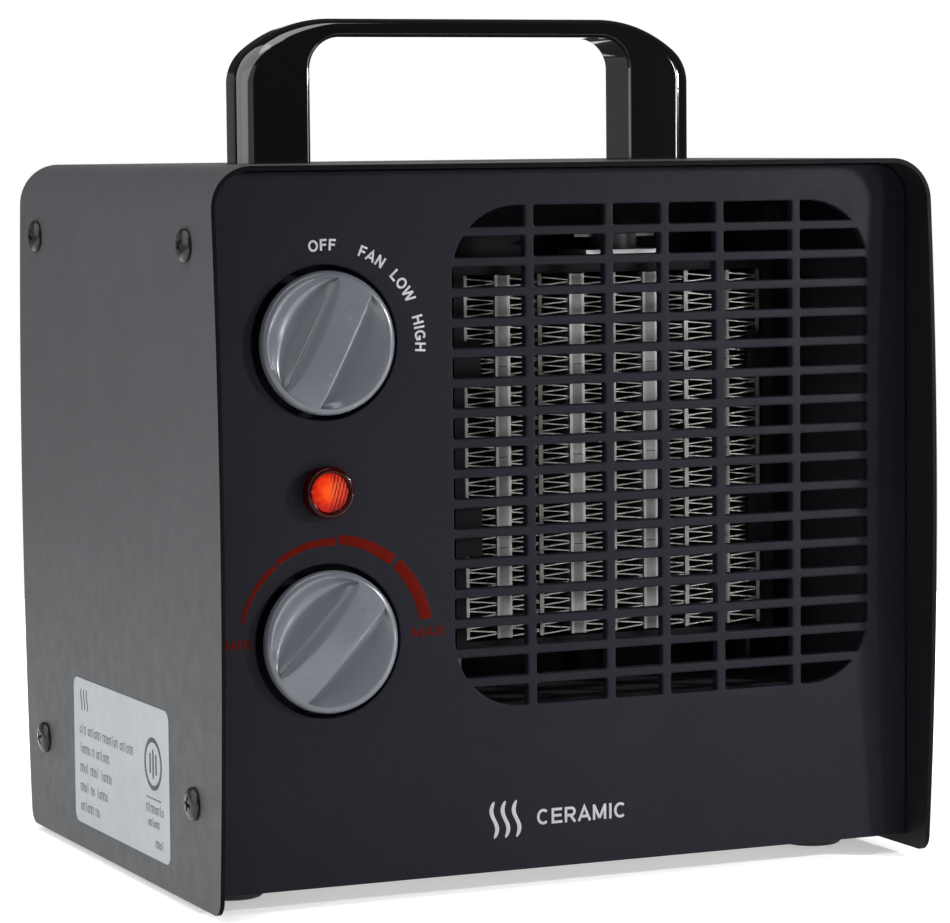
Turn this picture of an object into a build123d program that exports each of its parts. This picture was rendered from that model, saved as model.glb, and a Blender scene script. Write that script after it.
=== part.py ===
"""Ceramic space heater: folded sheet-steel shell, moulded front panel with a grille,
two knobs, a pilot lamp, a PTC heater core, an axial fan and its motor.

Millimetres. +X is to the right when facing the front, the front faces -Y and +Z is up.
The origin is on the floor, under the middle of the shell.
"""
from build123d import *
import math
import os

os.makedirs("parts", exist_ok=True)

# ---------------------------------------------------------------- driving sizes
WIDTH = 205.0                 # outside width of the shell
DEPTH = 156.0                 # shell depth at its top edge
EDGE_BOW = 4.2                # how far the side plates' edges bulge past that depth
SHELL_TOP = 190.0             # top of the shell above the floor
SHELL_BOTTOM = 2.0            # lower edge of the side plates above the floor
SHEET = 1.2                   # shell sheet thickness
SHELL_CORNER = 11.0           # outside radius of the two top bends
PLATE_CORNER = 4.0            # radius of the side plates' lower corners
GAP = 0.2                     # assembly gap between fixed pieces

PANEL_FACE_Y = -68.1          # outside of the front panel
PANEL_T = 2.5
PANEL_BOTTOM = 5.2
REAR_FACE_Y = 71.2            # outside of the rear panel
FLANGE_T = 2.0
FLANGE_DEPTH = 14.0

GRILLE_X = 28.1               # centre of the outlet grille, and of core, fan and motor
GRILLE_TOP = 179.0
ROWS = 17
ROW_PITCH = 7.8
SLOT_H = 5.36
GRILLE_HALF_W = 61.1
GRILLE_CORNER = 18.0
BAR_W = 2.6
BAR_OFFSETS = (-39.2, -16.3, 0.0, 16.3, 39.2)

KNOB_X = -68.4
MODE_Z = 145.0
THERMO_Z = 68.8
LAMP_Z = 107.0
KNOB_R = 18.4
KNOB_HOLE_R = 19.7
KNOB_FACE_Y = PANEL_FACE_Y - 4.0
KNOB_BACK_Y = -63.0
CUP_FLOOR_Y = -60.1           # front of the cup's floor behind each knob
CUP_FLOOR_T = 2.0
CUP_WALL = 1.6
SHAFT_R = 3.0
RUNNING = 0.05                # radial clearance of a turning shaft
MODE_REST = 27.0              # degrees clockwise from upright, the fan setting
THERMO_REST = 43.0            # degrees clockwise from upright

SCREW_Z = (28.4, 170.2)       # side screws
FRONT_SCREW_Y = -60.3
REAR_SCREW_Y = 63.4

BASE_Z = 7.0                  # underside of the base plate
BASE_T = 1.5
FOOT_R = 8.5
FOOT_X = 86.0
FOOT_Y = 41.5

HANDLE_HALF = 67.8            # half the handle's outside width
HANDLE_LEG = 20.2
HANDLE_TOP = 229.0
HANDLE_BAR = 5.2
HANDLE_DEPTH = 16.0

CORE_Z0 = 62.2                # bottom of the heater core
CORE_H = 97.6
CORE_Y = -37.0                # front of the heater core
CORE_DEPTH = 18.0
STRIP_T = 1.2
FIN_W = 8.2
CONTACT_T = 0.8
STONE_T = 2.8
UNITS = 4
STONES_PER_COLUMN = 4
UNIT_W = STRIP_T + 2 * FIN_W + 2 * CONTACT_T + STONE_T
CORE_W = UNITS * UNIT_W + STRIP_T
CORE_X0 = GRILLE_X - CORE_W / 2
CORE_MID_Z = CORE_Z0 + CORE_H / 2

DUCT_X0 = -35.5               # inside of the air duct
DUCT_X1 = 91.3
DUCT_Z0 = 47.6
DUCT_Z1 = 180.6
DUCT_T = 1.6
DUCT_BACK_Y = -20.4

FAN_Z = CORE_MID_Z
FAN_R = 53.0
RING_R = 55.5
RING_T = 1.8
FAN_PLATE_Y = -16.8
FAN_PLATE_T = 2.0
MOTOR_BOLT_X = 24.0
STACK_Y0 = 27.0
STACK_T = 20.0
ROTOR_R = 14.0


def at_depth(y):
    """Sketch plane facing the front at depth y: local x is +X, local y is +Z."""
    return Plane.XZ.offset(-y)


def front_plane(x, y, z):
    """Plane facing the front with its origin at a point."""
    return Plane(origin=(x, y, z), x_dir=(1, 0, 0), z_dir=(0, -1, 0))


def save(piece, name):
    """Label one finished sub-part and write its STEP file."""
    piece.label = name
    export_step(piece, f"parts/{name}.step")


def make_screws(planes, head_r, head_h, shank_r, shank_len, recess=2.6):
    """Pan-head screws: each plane lies under a head and faces out of it."""
    with BuildPart() as screws:
        for plane in planes:
            with BuildSketch(plane):
                Circle(head_r)
            extrude(amount=head_h, taper=18)
            with BuildSketch(plane):
                Circle(shank_r)
            extrude(amount=-shank_len)
            with BuildSketch(plane.offset(head_h)):
                Rectangle(recess, 0.8)
                Rectangle(0.8, recess)
            extrude(amount=-head_h * 0.6, mode=Mode.SUBTRACT)
    return screws


def tube_lead(name, points):
    """An insulated lead: straight runs joined by arcs as large as the runs allow."""
    corners = [Vector(*point) for point in points]
    radii = []
    for before, corner, after in zip(corners, corners[1:], corners[2:]):
        turn = math.radians((corner - before).get_angle(after - corner))
        shorter = min((corner - before).length, (after - corner).length)
        radii.append(ARC_SHARE * shorter / math.tan(turn / 2))
    listed = ", ".join(f"{radius:.1f}" for radius in radii)
    print(f"{name}: bend radii {listed} mm, the least is {min(radii) / LEAD_D:.1f} diameters")
    with BuildPart() as lead:
        with BuildLine() as route:
            FilletPolyline(*corners, radius=radii)
        first = route.wires()[0]
        with BuildSketch(Plane(origin=first @ 0, z_dir=first % 0)):
            Circle(LEAD_D / 2)
        sweep()
    return lead


# ---------------------------------------------------------------- shell
with BuildPart() as outer_shell:
    reach = DEPTH / 2 + EDGE_BOW + 1
    with BuildSketch(at_depth(-reach)):
        with Locations((0, SHELL_TOP / 2)):
            Rectangle(WIDTH, SHELL_TOP)
        top_corners = vertices().group_by(Axis.Y)[-1]
        fillet(top_corners, SHELL_CORNER)
    extrude(amount=-2 * reach)
    with BuildSketch(at_depth(-reach)):
        with Locations((0, (SHELL_TOP - SHEET) / 2)):
            Rectangle(WIDTH - 2 * SHEET, SHELL_TOP - SHEET)
        inner_corners = vertices().group_by(Axis.Y)[-1]
        fillet(inner_corners, SHELL_CORNER - SHEET)
    extrude(amount=-2 * reach, mode=Mode.SUBTRACT)
    # side view: bowed front and back edges, small lower corners
    with BuildSketch(Plane.YZ.offset(-WIDTH)):
        half = DEPTH / 2
        middle = (SHELL_TOP + SHELL_BOTTOM) / 2
        with BuildLine():
            ThreePointArc((-half, SHELL_BOTTOM), (-half - EDGE_BOW, middle), (-half, SHELL_TOP))
            Line((-half, SHELL_TOP), (half, SHELL_TOP))
            ThreePointArc((half, SHELL_TOP), (half + EDGE_BOW, middle), (half, SHELL_BOTTOM))
            Line((half, SHELL_BOTTOM), (-half, SHELL_BOTTOM))
        make_face()
        fillet(vertices().group_by(Axis.Y)[0], PLATE_CORNER)
    extrude(amount=2 * WIDTH, mode=Mode.INTERSECT)
    # holes for the side screws and the handle screws
    with BuildSketch(Plane.YZ.offset(-WIDTH)):
        with Locations(*[(y, z) for y in (FRONT_SCREW_Y, REAR_SCREW_Y) for z in SCREW_Z]):
            Circle(2.2)
    extrude(amount=2 * WIDTH, mode=Mode.SUBTRACT)
    handle_screw_x = HANDLE_HALF - HANDLE_LEG / 2
    with BuildSketch(Plane.XY.offset(SHELL_TOP + 1)):
        with Locations((-handle_screw_x, 0), (handle_screw_x, 0)):
            Circle(2.7)
    extrude(amount=-SHEET - 2, mode=Mode.SUBTRACT)
save(outer_shell.part, "outer_shell")


# ---------------------------------------------------------------- front panel
PANEL_HALF = WIDTH / 2 - SHEET - GAP
PANEL_TOP = SHELL_TOP - SHEET - GAP
BASE_SCREW_X = 62.0
with BuildSketch() as panel_shape:
    with Locations((0, (PANEL_BOTTOM + PANEL_TOP) / 2)):
        Rectangle(2 * PANEL_HALF, PANEL_TOP - PANEL_BOTTOM)
    fillet(vertices().group_by(Axis.Y)[-1], SHELL_CORNER - SHEET - GAP)


def panel_fixings(face_y, inward):
    """Side walls, screw bosses and base bosses behind a panel; inward is +1 towards +Y."""
    with BuildPart() as fixings:
        flange_top = SCREW_Z[1] + 6
        with BuildSketch(at_depth(face_y + inward * PANEL_T)):
            for side in (-1, 1):
                with Locations((side * (PANEL_HALF - FLANGE_T / 2), (PANEL_BOTTOM + flange_top) / 2)):
                    Rectangle(FLANGE_T, flange_top - PANEL_BOTTOM)
                with Locations(*[(side * (PANEL_HALF - 4.0), z) for z in SCREW_Z]):
                    Rectangle(8.0, 10.0)
        extrude(amount=-inward * FLANGE_DEPTH)
        boss_y = face_y + inward * (PANEL_T + 5.0)
        with BuildSketch(Plane.XY.offset(BASE_Z + BASE_T + GAP)):
            with Locations((-BASE_SCREW_X, boss_y), (BASE_SCREW_X, boss_y)):
                Rectangle(10, 10)
        extrude(amount=12)
        with BuildSketch(Plane.XY.offset(BASE_Z)):
            with Locations((-BASE_SCREW_X, boss_y), (BASE_SCREW_X, boss_y)):
                Circle(1.8)
        extrude(amount=12, mode=Mode.SUBTRACT)
    return fixings.part


def side_drill(y):
    """Rods that drill the side screw holes through both flanges of a panel."""
    with BuildPart() as rods:
        with BuildSketch(Plane.YZ.offset(-WIDTH)):
            with Locations(*[(y, z) for z in SCREW_Z]):
                Circle(2.1)
        extrude(amount=2 * WIDTH)
    return rods.part


with BuildPart() as front_panel:
    with BuildSketch(at_depth(PANEL_FACE_Y)):
        add(panel_shape.sketch)
    extrude(amount=-PANEL_T)
    add(panel_fixings(PANEL_FACE_Y, 1))
    # cups behind the knobs
    with BuildSketch(at_depth(PANEL_FACE_Y + PANEL_T)):
        with Locations((KNOB_X, MODE_Z), (KNOB_X, THERMO_Z)):
            Circle(KNOB_HOLE_R + CUP_WALL)
    extrude(amount=-(CUP_FLOOR_Y + CUP_FLOOR_T - PANEL_FACE_Y - PANEL_T))
    with BuildSketch(at_depth(PANEL_FACE_Y)):
        with Locations((KNOB_X, MODE_Z), (KNOB_X, THERMO_Z)):
            Circle(KNOB_HOLE_R)
    extrude(amount=-(CUP_FLOOR_Y - PANEL_FACE_Y), mode=Mode.SUBTRACT)
    # shaft holes and switch screw holes in the cup floors, and the lamp hole
    with BuildSketch(at_depth(PANEL_FACE_Y)):
        with Locations((KNOB_X, MODE_Z), (KNOB_X, THERMO_Z)):
            Circle(4.5)
            with Locations((-10, 0), (10, 0)):
                Circle(1.7)
        with Locations((KNOB_X, LAMP_Z)):
            Circle(6.2)
    extrude(amount=-30, mode=Mode.SUBTRACT)
    # outlet grille: rows of slots between six columns, clipped to a rounded field
    field_h = (ROWS - 1) * ROW_PITCH + SLOT_H
    field_z = GRILLE_TOP - field_h / 2
    edges_x = [-GRILLE_HALF_W]
    for offset_x in BAR_OFFSETS:
        edges_x += [offset_x - BAR_W / 2, offset_x + BAR_W / 2]
    edges_x.append(GRILLE_HALF_W)
    with BuildSketch(at_depth(PANEL_FACE_Y)):
        for left, right in zip(edges_x[0::2], edges_x[1::2]):
            with Locations((GRILLE_X + (left + right) / 2, field_z)):
                with GridLocations(1, ROW_PITCH, 1, ROWS):
                    Rectangle(right - left, SLOT_H)
        with Locations((GRILLE_X, field_z)):
            RectangleRounded(2 * GRILLE_HALF_W, field_h, GRILLE_CORNER, mode=Mode.INTERSECT)
    extrude(amount=-PANEL_T, mode=Mode.SUBTRACT)
    add(side_drill(FRONT_SCREW_Y), mode=Mode.SUBTRACT)
save(front_panel.part, "front_panel")

# ---------------------------------------------------------------- rear panel
INTAKE_ROWS = 13
INTAKE_Z = FAN_Z
CORD_X = -74.0
CORD_Z = 27.0
CORD_HOLE_R = 8.0
with BuildPart() as rear_panel:
    with BuildSketch(at_depth(REAR_FACE_Y)):
        add(panel_shape.sketch)
    extrude(amount=PANEL_T)
    add(panel_fixings(REAR_FACE_Y, -1))
    with BuildSketch(at_depth(REAR_FACE_Y)):
        with Locations((GRILLE_X, INTAKE_Z)):
            with GridLocations(21.4, ROW_PITCH, 5, INTAKE_ROWS):
                Rectangle(18.8, 4.6)
            RectangleRounded(104.4, 98.2, 14, mode=Mode.INTERSECT)
    extrude(amount=PANEL_T, mode=Mode.SUBTRACT)
    with BuildSketch(at_depth(REAR_FACE_Y)):
        with Locations((CORD_X, CORD_Z)):
            Circle(CORD_HOLE_R)
    extrude(amount=PANEL_T, mode=Mode.SUBTRACT)
    add(side_drill(REAR_SCREW_Y), mode=Mode.SUBTRACT)
save(rear_panel.part, "rear_panel")

# cord inlet: a flanged bush through the rear panel, empty
CORD_BORE_R = 3.8
with BuildPart() as cord_inlet:
    with BuildSketch(at_depth(REAR_FACE_Y)):
        with Locations((CORD_X, CORD_Z)):
            Circle(10.5)
    extrude(amount=-2.0)
    with BuildSketch(at_depth(REAR_FACE_Y)):
        with Locations((CORD_X, CORD_Z)):
            Circle(CORD_HOLE_R - 0.15)
    extrude(amount=8.0)
    with BuildSketch(at_depth(REAR_FACE_Y + 2.0)):
        with Locations((CORD_X, CORD_Z)):
            Circle(CORD_BORE_R)
    extrude(amount=10.0, mode=Mode.SUBTRACT)
save(cord_inlet.part, "cord_inlet")

# ---------------------------------------------------------------- base plate and feet
BASE_Y0 = PANEL_FACE_Y + PANEL_T + GAP
BASE_Y1 = REAR_FACE_Y - PANEL_T - GAP
BASE_HALF = WIDTH / 2 - SHEET - GAP - FLANGE_T - GAP
front_boss_y = PANEL_FACE_Y + PANEL_T + 5.0
rear_boss_y = REAR_FACE_Y - PANEL_T - 5.0
base_screw_places = [(x, y) for x in (-BASE_SCREW_X, BASE_SCREW_X) for y in (front_boss_y, rear_boss_y)]
foot_places = {
    "foot_front_left": (-FOOT_X, -FOOT_Y),
    "foot_front_right": (FOOT_X, -FOOT_Y),
    "foot_rear_left": (-FOOT_X, FOOT_Y),
    "foot_rear_right": (FOOT_X, FOOT_Y),
}
with BuildPart() as base_plate:
    middle_y = (BASE_Y0 + BASE_Y1) / 2
    with BuildSketch(Plane.XY.offset(BASE_Z)):
        with Locations((0, middle_y)):
            Rectangle(2 * BASE_HALF, BASE_Y1 - BASE_Y0)
    extrude(amount=BASE_T)
    with BuildSketch(Plane.XY.offset(BASE_Z + BASE_T)):
        for side in (-1, 1):
            with Locations((side * (BASE_HALF - BASE_T / 2), middle_y)):
                Rectangle(BASE_T, BASE_Y1 - BASE_Y0 - 2 * FLANGE_DEPTH - 4)
    extrude(amount=8)
    with BuildSketch(Plane.XY.offset(BASE_Z)):
        with Locations(*base_screw_places):
            Circle(1.8)
        with Locations(*foot_places.values()):
            Circle(2.0)
    extrude(amount=BASE_T, mode=Mode.SUBTRACT)
save(base_plate.part, "base_plate")

for foot_name, (foot_x, foot_y) in foot_places.items():
    with BuildPart() as foot:
        with BuildSketch(Plane.XY):
            with Locations((foot_x, foot_y)):
                Circle(FOOT_R)
        extrude(amount=BASE_Z)
        chamfer(faces().sort_by(Axis.Z)[0].edges(), 0.8)
        with BuildSketch(Plane.XY):
            with Locations((foot_x, foot_y)):
                Circle(4.6)
        extrude(amount=3.6, mode=Mode.SUBTRACT)
        with BuildSketch(Plane.XY):
            with Locations((foot_x, foot_y)):
                Circle(2.0)
        extrude(amount=BASE_Z, mode=Mode.SUBTRACT)
    save(foot.part, foot_name)


def downward(x, y, z):
    """Plane under a screw head that faces the floor."""
    return Plane(origin=(x, y, z), x_dir=(1, 0, 0), z_dir=(0, 0, -1))


foot_screws = make_screws([downward(x, y, 3.4) for x, y in foot_places.values()], 4.0, 2.2, 1.9, 8.0)
save(foot_screws.part, "foot_screws")
base_screws = make_screws([downward(x, y, BASE_Z) for x, y in base_screw_places], 3.4, 2.0, 1.7, 11.0)
save(base_screws.part, "base_screws")

# ---------------------------------------------------------------- side screws
side_screw_points = [(y, z) for y in (FRONT_SCREW_Y, REAR_SCREW_Y) for z in SCREW_Z]
side_planes = [
    Plane(origin=(side * WIDTH / 2, y, z), x_dir=(0, 1, 0), z_dir=(side, 0, 0))
    for side in (-1, 1)
    for y, z in side_screw_points
]
side_screws = make_screws(side_planes, 4.35, 2.2, 2.0, 8.0, recess=4.0)
save(side_screws.part, "side_screws")

# ---------------------------------------------------------------- rating label
LABEL_Y = (-41.4, 37.1)
LABEL_Z = (9.0, 49.3)
with BuildPart() as rating_label:
    with BuildSketch(Plane.YZ.offset(-WIDTH / 2)):
        with Locations((sum(LABEL_Y) / 2, sum(LABEL_Z) / 2)):
            RectangleRounded(LABEL_Y[1] - LABEL_Y[0], LABEL_Z[1] - LABEL_Z[0], 3.0)
    extrude(amount=-0.15)
save(rating_label.part, "rating_label")

# ---------------------------------------------------------------- handle
CROWN_R = 37.0                # large radius of the handle's shoulders
SHOULDER_R = 12.0             # where a shoulder turns into the leg
CROWN_X = 40.0                # where the flat top ends
INNER_R = 8.6
crown_centre = (CROWN_X, HANDLE_TOP - CROWN_R)
shoulder_x = HANDLE_HALF - SHOULDER_R
shoulder_rise = math.sqrt((CROWN_R - SHOULDER_R) ** 2 - (shoulder_x - CROWN_X) ** 2)
shoulder_centre = (shoulder_x, crown_centre[1] + shoulder_rise)
turn = math.atan2(shoulder_rise, shoulder_x - CROWN_X)
join = (crown_centre[0] + CROWN_R * math.cos(turn), crown_centre[1] + CROWN_R * math.sin(turn))
with BuildPart() as handle:
    with BuildSketch(at_depth(-HANDLE_DEPTH / 2)):
        inner_x = HANDLE_HALF - HANDLE_LEG
        under = HANDLE_TOP - HANDLE_BAR
        with BuildLine():
            Line((0, HANDLE_TOP), (CROWN_X, HANDLE_TOP))
            RadiusArc((CROWN_X, HANDLE_TOP), join, CROWN_R)
            RadiusArc(join, (HANDLE_HALF, shoulder_centre[1]), SHOULDER_R)
            Line((HANDLE_HALF, shoulder_centre[1]), (HANDLE_HALF, SHELL_TOP))
            Line((HANDLE_HALF, SHELL_TOP), (inner_x, SHELL_TOP))
            Line((inner_x, SHELL_TOP), (inner_x, under - INNER_R))
            RadiusArc((inner_x, under - INNER_R), (inner_x - INNER_R, under), -INNER_R)
            Line((inner_x - INNER_R, under), (0, under))
            mirror(about=Plane.YZ)
        make_face()
    extrude(amount=-HANDLE_DEPTH)
    rim_edges = edges().filter_by(Plane.XZ)
    base_level = SHELL_TOP + 0.5
    rim_edges = rim_edges.filter_by(lambda e: (e @ 0.5).Z > base_level)
    fillet(rim_edges, 2.3)
    with BuildSketch(Plane.XY.offset(SHELL_TOP)):
        with Locations((-handle_screw_x, 0), (handle_screw_x, 0)):
            Circle(2.6)
    extrude(amount=14, mode=Mode.SUBTRACT)
save(handle.part, "handle")
handle_planes = [downward(x, 0, SHELL_TOP - SHEET - 1.0) for x in (-handle_screw_x, handle_screw_x)]
handle_screws = make_screws(handle_planes, 4.6, 2.8, 2.5, 14.0, recess=4.4)
save(handle_screws.part, "handle_screws")
with BuildPart() as handle_washers:
    with BuildSketch(Plane.XY.offset(SHELL_TOP - SHEET - 1.0)):
        with Locations((-handle_screw_x, 0), (handle_screw_x, 0)):
            Circle(7.0)
            Circle(2.7, mode=Mode.SUBTRACT)
    extrude(amount=1.0)
save(handle_washers.part, "handle_washers")


# ---------------------------------------------------------------- knobs
SCOOP_DEPTH = 5.2
BAR_HALF = 4.6
RIM_W = 1.7


def make_knob(centre_z, pointer_deg):
    """Low round knob: two scooped hollows leave a grip bar level with the rim."""
    swing = math.radians(pointer_deg)
    across = (math.cos(swing), 0, -math.sin(swing))
    face = Plane(origin=(KNOB_X, KNOB_FACE_Y, centre_z), x_dir=across, z_dir=(0, -1, 0))
    thickness = KNOB_BACK_Y - KNOB_FACE_Y
    with BuildPart() as knob:
        with BuildSketch(face):
            Circle(KNOB_R)
        extrude(amount=-thickness)
        front_edge = edges().filter_by(GeomType.CIRCLE).sort_by(Axis.Y)[0]
        fillet(front_edge, 1.6)
        for side in (-1, 1):
            with BuildSketch(face):
                Circle(KNOB_R - RIM_W)
                with Locations((side * (KNOB_R + BAR_HALF), 0)):
                    Rectangle(2 * KNOB_R, 2 * KNOB_R, mode=Mode.INTERSECT)
            extrude(amount=-SCOOP_DEPTH, taper=28, mode=Mode.SUBTRACT)
        with BuildSketch(front_plane(KNOB_X, KNOB_BACK_Y, centre_z)):
            Circle(SHAFT_R + RUNNING)
        extrude(amount=3.6, mode=Mode.SUBTRACT)
    return knob


mode_knob = make_knob(MODE_Z, MODE_REST)
save(mode_knob.part, "mode_knob")
thermostat_knob = make_knob(THERMO_Z, THERMO_REST)
save(thermostat_knob.part, "thermostat_knob")

# ---------------------------------------------------------------- mode switch
SWITCH_Y0 = CUP_FLOOR_Y + CUP_FLOOR_T + GAP
SWITCH_T = 15.0
with BuildPart() as mode_switch_body:
    with BuildSketch(at_depth(SWITCH_Y0)):
        with Locations((KNOB_X, MODE_Z)):
            RectangleRounded(30, 26, 3)
    extrude(amount=-SWITCH_T)
    with BuildSketch(at_depth(SWITCH_Y0)):
        with Locations((KNOB_X, MODE_Z)):
            Circle(SHAFT_R + RUNNING)
    extrude(amount=-10, mode=Mode.SUBTRACT)
    with BuildSketch(at_depth(SWITCH_Y0)):
        with Locations((KNOB_X - 10, MODE_Z), (KNOB_X + 10, MODE_Z)):
            Circle(1.6)
    extrude(amount=-6.5, mode=Mode.SUBTRACT)
save(mode_switch_body.part, "mode_switch_body")

SHAFT_TIP_Y = KNOB_BACK_Y - 3.4
with BuildPart() as mode_switch_shaft:
    with BuildSketch(at_depth(SHAFT_TIP_Y)):
        with Locations((KNOB_X, MODE_Z)):
            Circle(SHAFT_R)
    extrude(amount=-(SWITCH_Y0 + 9.5 - SHAFT_TIP_Y))
save(mode_switch_shaft.part, "mode_switch_shaft")

TAB_Y = SWITCH_Y0 + SWITCH_T
with BuildPart() as mode_switch_tabs:
    with BuildSketch(at_depth(TAB_Y)):
        with Locations((KNOB_X, MODE_Z)):
            with GridLocations(8, 14, 3, 2):
                Rectangle(0.8, 4.8)
    extrude(amount=-8)
save(mode_switch_tabs.part, "mode_switch_tabs")

switch_screw_planes = [
    front_plane(KNOB_X + offset_x, CUP_FLOOR_Y, z) for z in (MODE_Z, THERMO_Z) for offset_x in (-10, 10)
]
switch_screws = make_screws(switch_screw_planes, 2.8, 1.6, 1.5, 7.5)
save(switch_screws.part, "switch_screws")

# ---------------------------------------------------------------- thermostat
THERMO_PLATE_T = 1.5
with BuildPart() as thermostat_frame:
    with BuildSketch(at_depth(SWITCH_Y0)):
        with Locations((KNOB_X, THERMO_Z)):
            RectangleRounded(28, 14, 2)
            with Locations((0, -14)):
                Rectangle(12, 22)
    extrude(amount=-THERMO_PLATE_T)
    with BuildSketch(at_depth(SWITCH_Y0 + THERMO_PLATE_T)):
        with Locations((KNOB_X, THERMO_Z)):
            Circle(5.0)
    extrude(amount=-6)
    with BuildSketch(at_depth(SWITCH_Y0)):
        with Locations((KNOB_X, THERMO_Z)):
            Circle(SHAFT_R + RUNNING)
            with Locations((-10, 0), (10, 0)):
                Circle(1.6)
    extrude(amount=-10, mode=Mode.SUBTRACT)
save(thermostat_frame.part, "thermostat_frame")

BLADE_T = 0.5
STACK_Z = THERMO_Z - 20.0
BLADE_YS = [SWITCH_Y0 + THERMO_PLATE_T + step for step in (12.0, 16.5, 21.0)]
with BuildPart() as thermostat_shaft:
    with BuildSketch(at_depth(SHAFT_TIP_Y)):
        with Locations((KNOB_X, THERMO_Z)):
            Circle(SHAFT_R)
    extrude(amount=-(BLADE_YS[0] - 0.4 - SHAFT_TIP_Y))
save(thermostat_shaft.part, "thermostat_shaft")

with BuildPart() as thermostat_blades:
    for blade_y, reach in zip(BLADE_YS, (26.0, 30.0, 34.0)):
        with BuildSketch(at_depth(blade_y)):
            with Locations((KNOB_X, STACK_Z + reach / 2 - 5)):
                Rectangle(7, reach)
            with Locations((KNOB_X, STACK_Z)):
                Circle(2.2, mode=Mode.SUBTRACT)
        extrude(amount=-BLADE_T)
save(thermostat_blades.part, "thermostat_blades")

with BuildPart() as thermostat_insulators:
    levels = [SWITCH_Y0 + THERMO_PLATE_T] + [y + BLADE_T for y in BLADE_YS]
    ends = BLADE_YS + [BLADE_YS[-1] + BLADE_T + 4.0]
    for start, end in zip(levels, ends):
        with BuildSketch(at_depth(start)):
            with Locations((KNOB_X, STACK_Z)):
                Circle(5.0)
                Circle(2.2, mode=Mode.SUBTRACT)
        extrude(amount=-(end - start))
save(thermostat_insulators.part, "thermostat_insulators")

with BuildPart() as thermostat_rivet:
    with BuildSketch(at_depth(SWITCH_Y0 + THERMO_PLATE_T)):
        with Locations((KNOB_X, STACK_Z)):
            Circle(2.0)
    extrude(amount=-(ends[-1] - SWITCH_Y0 - THERMO_PLATE_T))
    with BuildSketch(at_depth(ends[-1])):
        with Locations((KNOB_X, STACK_Z)):
            Circle(3.6)
    extrude(amount=-1.4)
save(thermostat_rivet.part, "thermostat_rivet")

# ---------------------------------------------------------------- pilot lamp
LENS_R = 6.7
LENS_BACK_Y = PANEL_FACE_Y + 9.0
lamp_axis = Axis((KNOB_X, 0, LAMP_Z), (0, 1, 0))
with BuildPart() as pilot_lens:
    with BuildSketch(Plane(origin=(KNOB_X, 0, LAMP_Z), x_dir=(1, 0, 0), z_dir=(0, 0, 1))):
        with BuildLine():
            dome_y = PANEL_FACE_Y - 3.4
            Line((0, dome_y), (3.6, dome_y))
            ThreePointArc((3.6, dome_y), (5.9, PANEL_FACE_Y - 2.4), (LENS_R, PANEL_FACE_Y - 0.6))
            Line((LENS_R, PANEL_FACE_Y - 0.6), (LENS_R, PANEL_FACE_Y))
            Line((LENS_R, PANEL_FACE_Y), (6.0, PANEL_FACE_Y))
            Line((6.0, PANEL_FACE_Y), (6.0, LENS_BACK_Y))
            Line((6.0, LENS_BACK_Y), (4.8, LENS_BACK_Y))
            Line((4.8, LENS_BACK_Y), (4.8, PANEL_FACE_Y - 1.6))
            Line((4.8, PANEL_FACE_Y - 1.6), (0, PANEL_FACE_Y - 1.6))
            Line((0, PANEL_FACE_Y - 1.6), (0, dome_y))
        make_face()
    revolve(axis=lamp_axis)
save(pilot_lens.part, "pilot_lens")

with BuildPart() as pilot_bulb:
    with BuildSketch(at_depth(PANEL_FACE_Y)):
        with Locations((KNOB_X, LAMP_Z)):
            Circle(3.0)
    extrude(amount=-14)
    fillet(faces().sort_by(Axis.Y)[0].edges(), 2.6)
save(pilot_bulb.part, "pilot_bulb")

with BuildPart() as pilot_holder:
    with BuildSketch(at_depth(PANEL_FACE_Y + PANEL_T + GAP)):
        with Locations((KNOB_X, LAMP_Z)):
            Circle(8.2)
    extrude(amount=-1.6)
    with BuildSketch(at_depth(PANEL_FACE_Y + PANEL_T + GAP)):
        with Locations((KNOB_X, LAMP_Z)):
            Circle(7.4)
    extrude(amount=-14)
    with BuildSketch(at_depth(PANEL_FACE_Y)):
        with Locations((KNOB_X, LAMP_Z)):
            Circle(6.1)
    extrude(amount=-9.2, mode=Mode.SUBTRACT)
    with BuildSketch(at_depth(PANEL_FACE_Y)):
        with Locations((KNOB_X, LAMP_Z)):
            Circle(3.2)
    extrude(amount=-14.2, mode=Mode.SUBTRACT)
save(pilot_holder.part, "pilot_holder")

# ---------------------------------------------------------------- air duct
TAIL_W = 6.0                  # terminal tails of every other electrode strip
TAIL_TIP_Z = 40.2
TAIL_Y = CORE_Y + CORE_DEPTH / 2
tail_places = [(CORE_X0 + STRIP_T / 2 + i * UNIT_W, TAIL_Y) for i in (0, 2, 4)]
with BuildPart() as air_duct:
    duct_mid = ((DUCT_X0 + DUCT_X1) / 2, (DUCT_Z0 + DUCT_Z1) / 2)
    duct_size = (DUCT_X1 - DUCT_X0, DUCT_Z1 - DUCT_Z0)
    with BuildSketch(at_depth(PANEL_FACE_Y + PANEL_T + GAP)):
        with Locations(duct_mid):
            Rectangle(duct_size[0] + 2 * DUCT_T, duct_size[1] + 2 * DUCT_T)
            Rectangle(*duct_size, mode=Mode.SUBTRACT)
    extrude(amount=-(DUCT_BACK_Y - PANEL_FACE_Y - PANEL_T - GAP))
    with BuildSketch(Plane.XY.offset(DUCT_Z0 + 1)):
        with Locations(*tail_places):
            Rectangle(STRIP_T + 1.6, TAIL_W + 1.6)
    extrude(amount=-DUCT_T - 2, mode=Mode.SUBTRACT)
save(air_duct.part, "air_duct")

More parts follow.
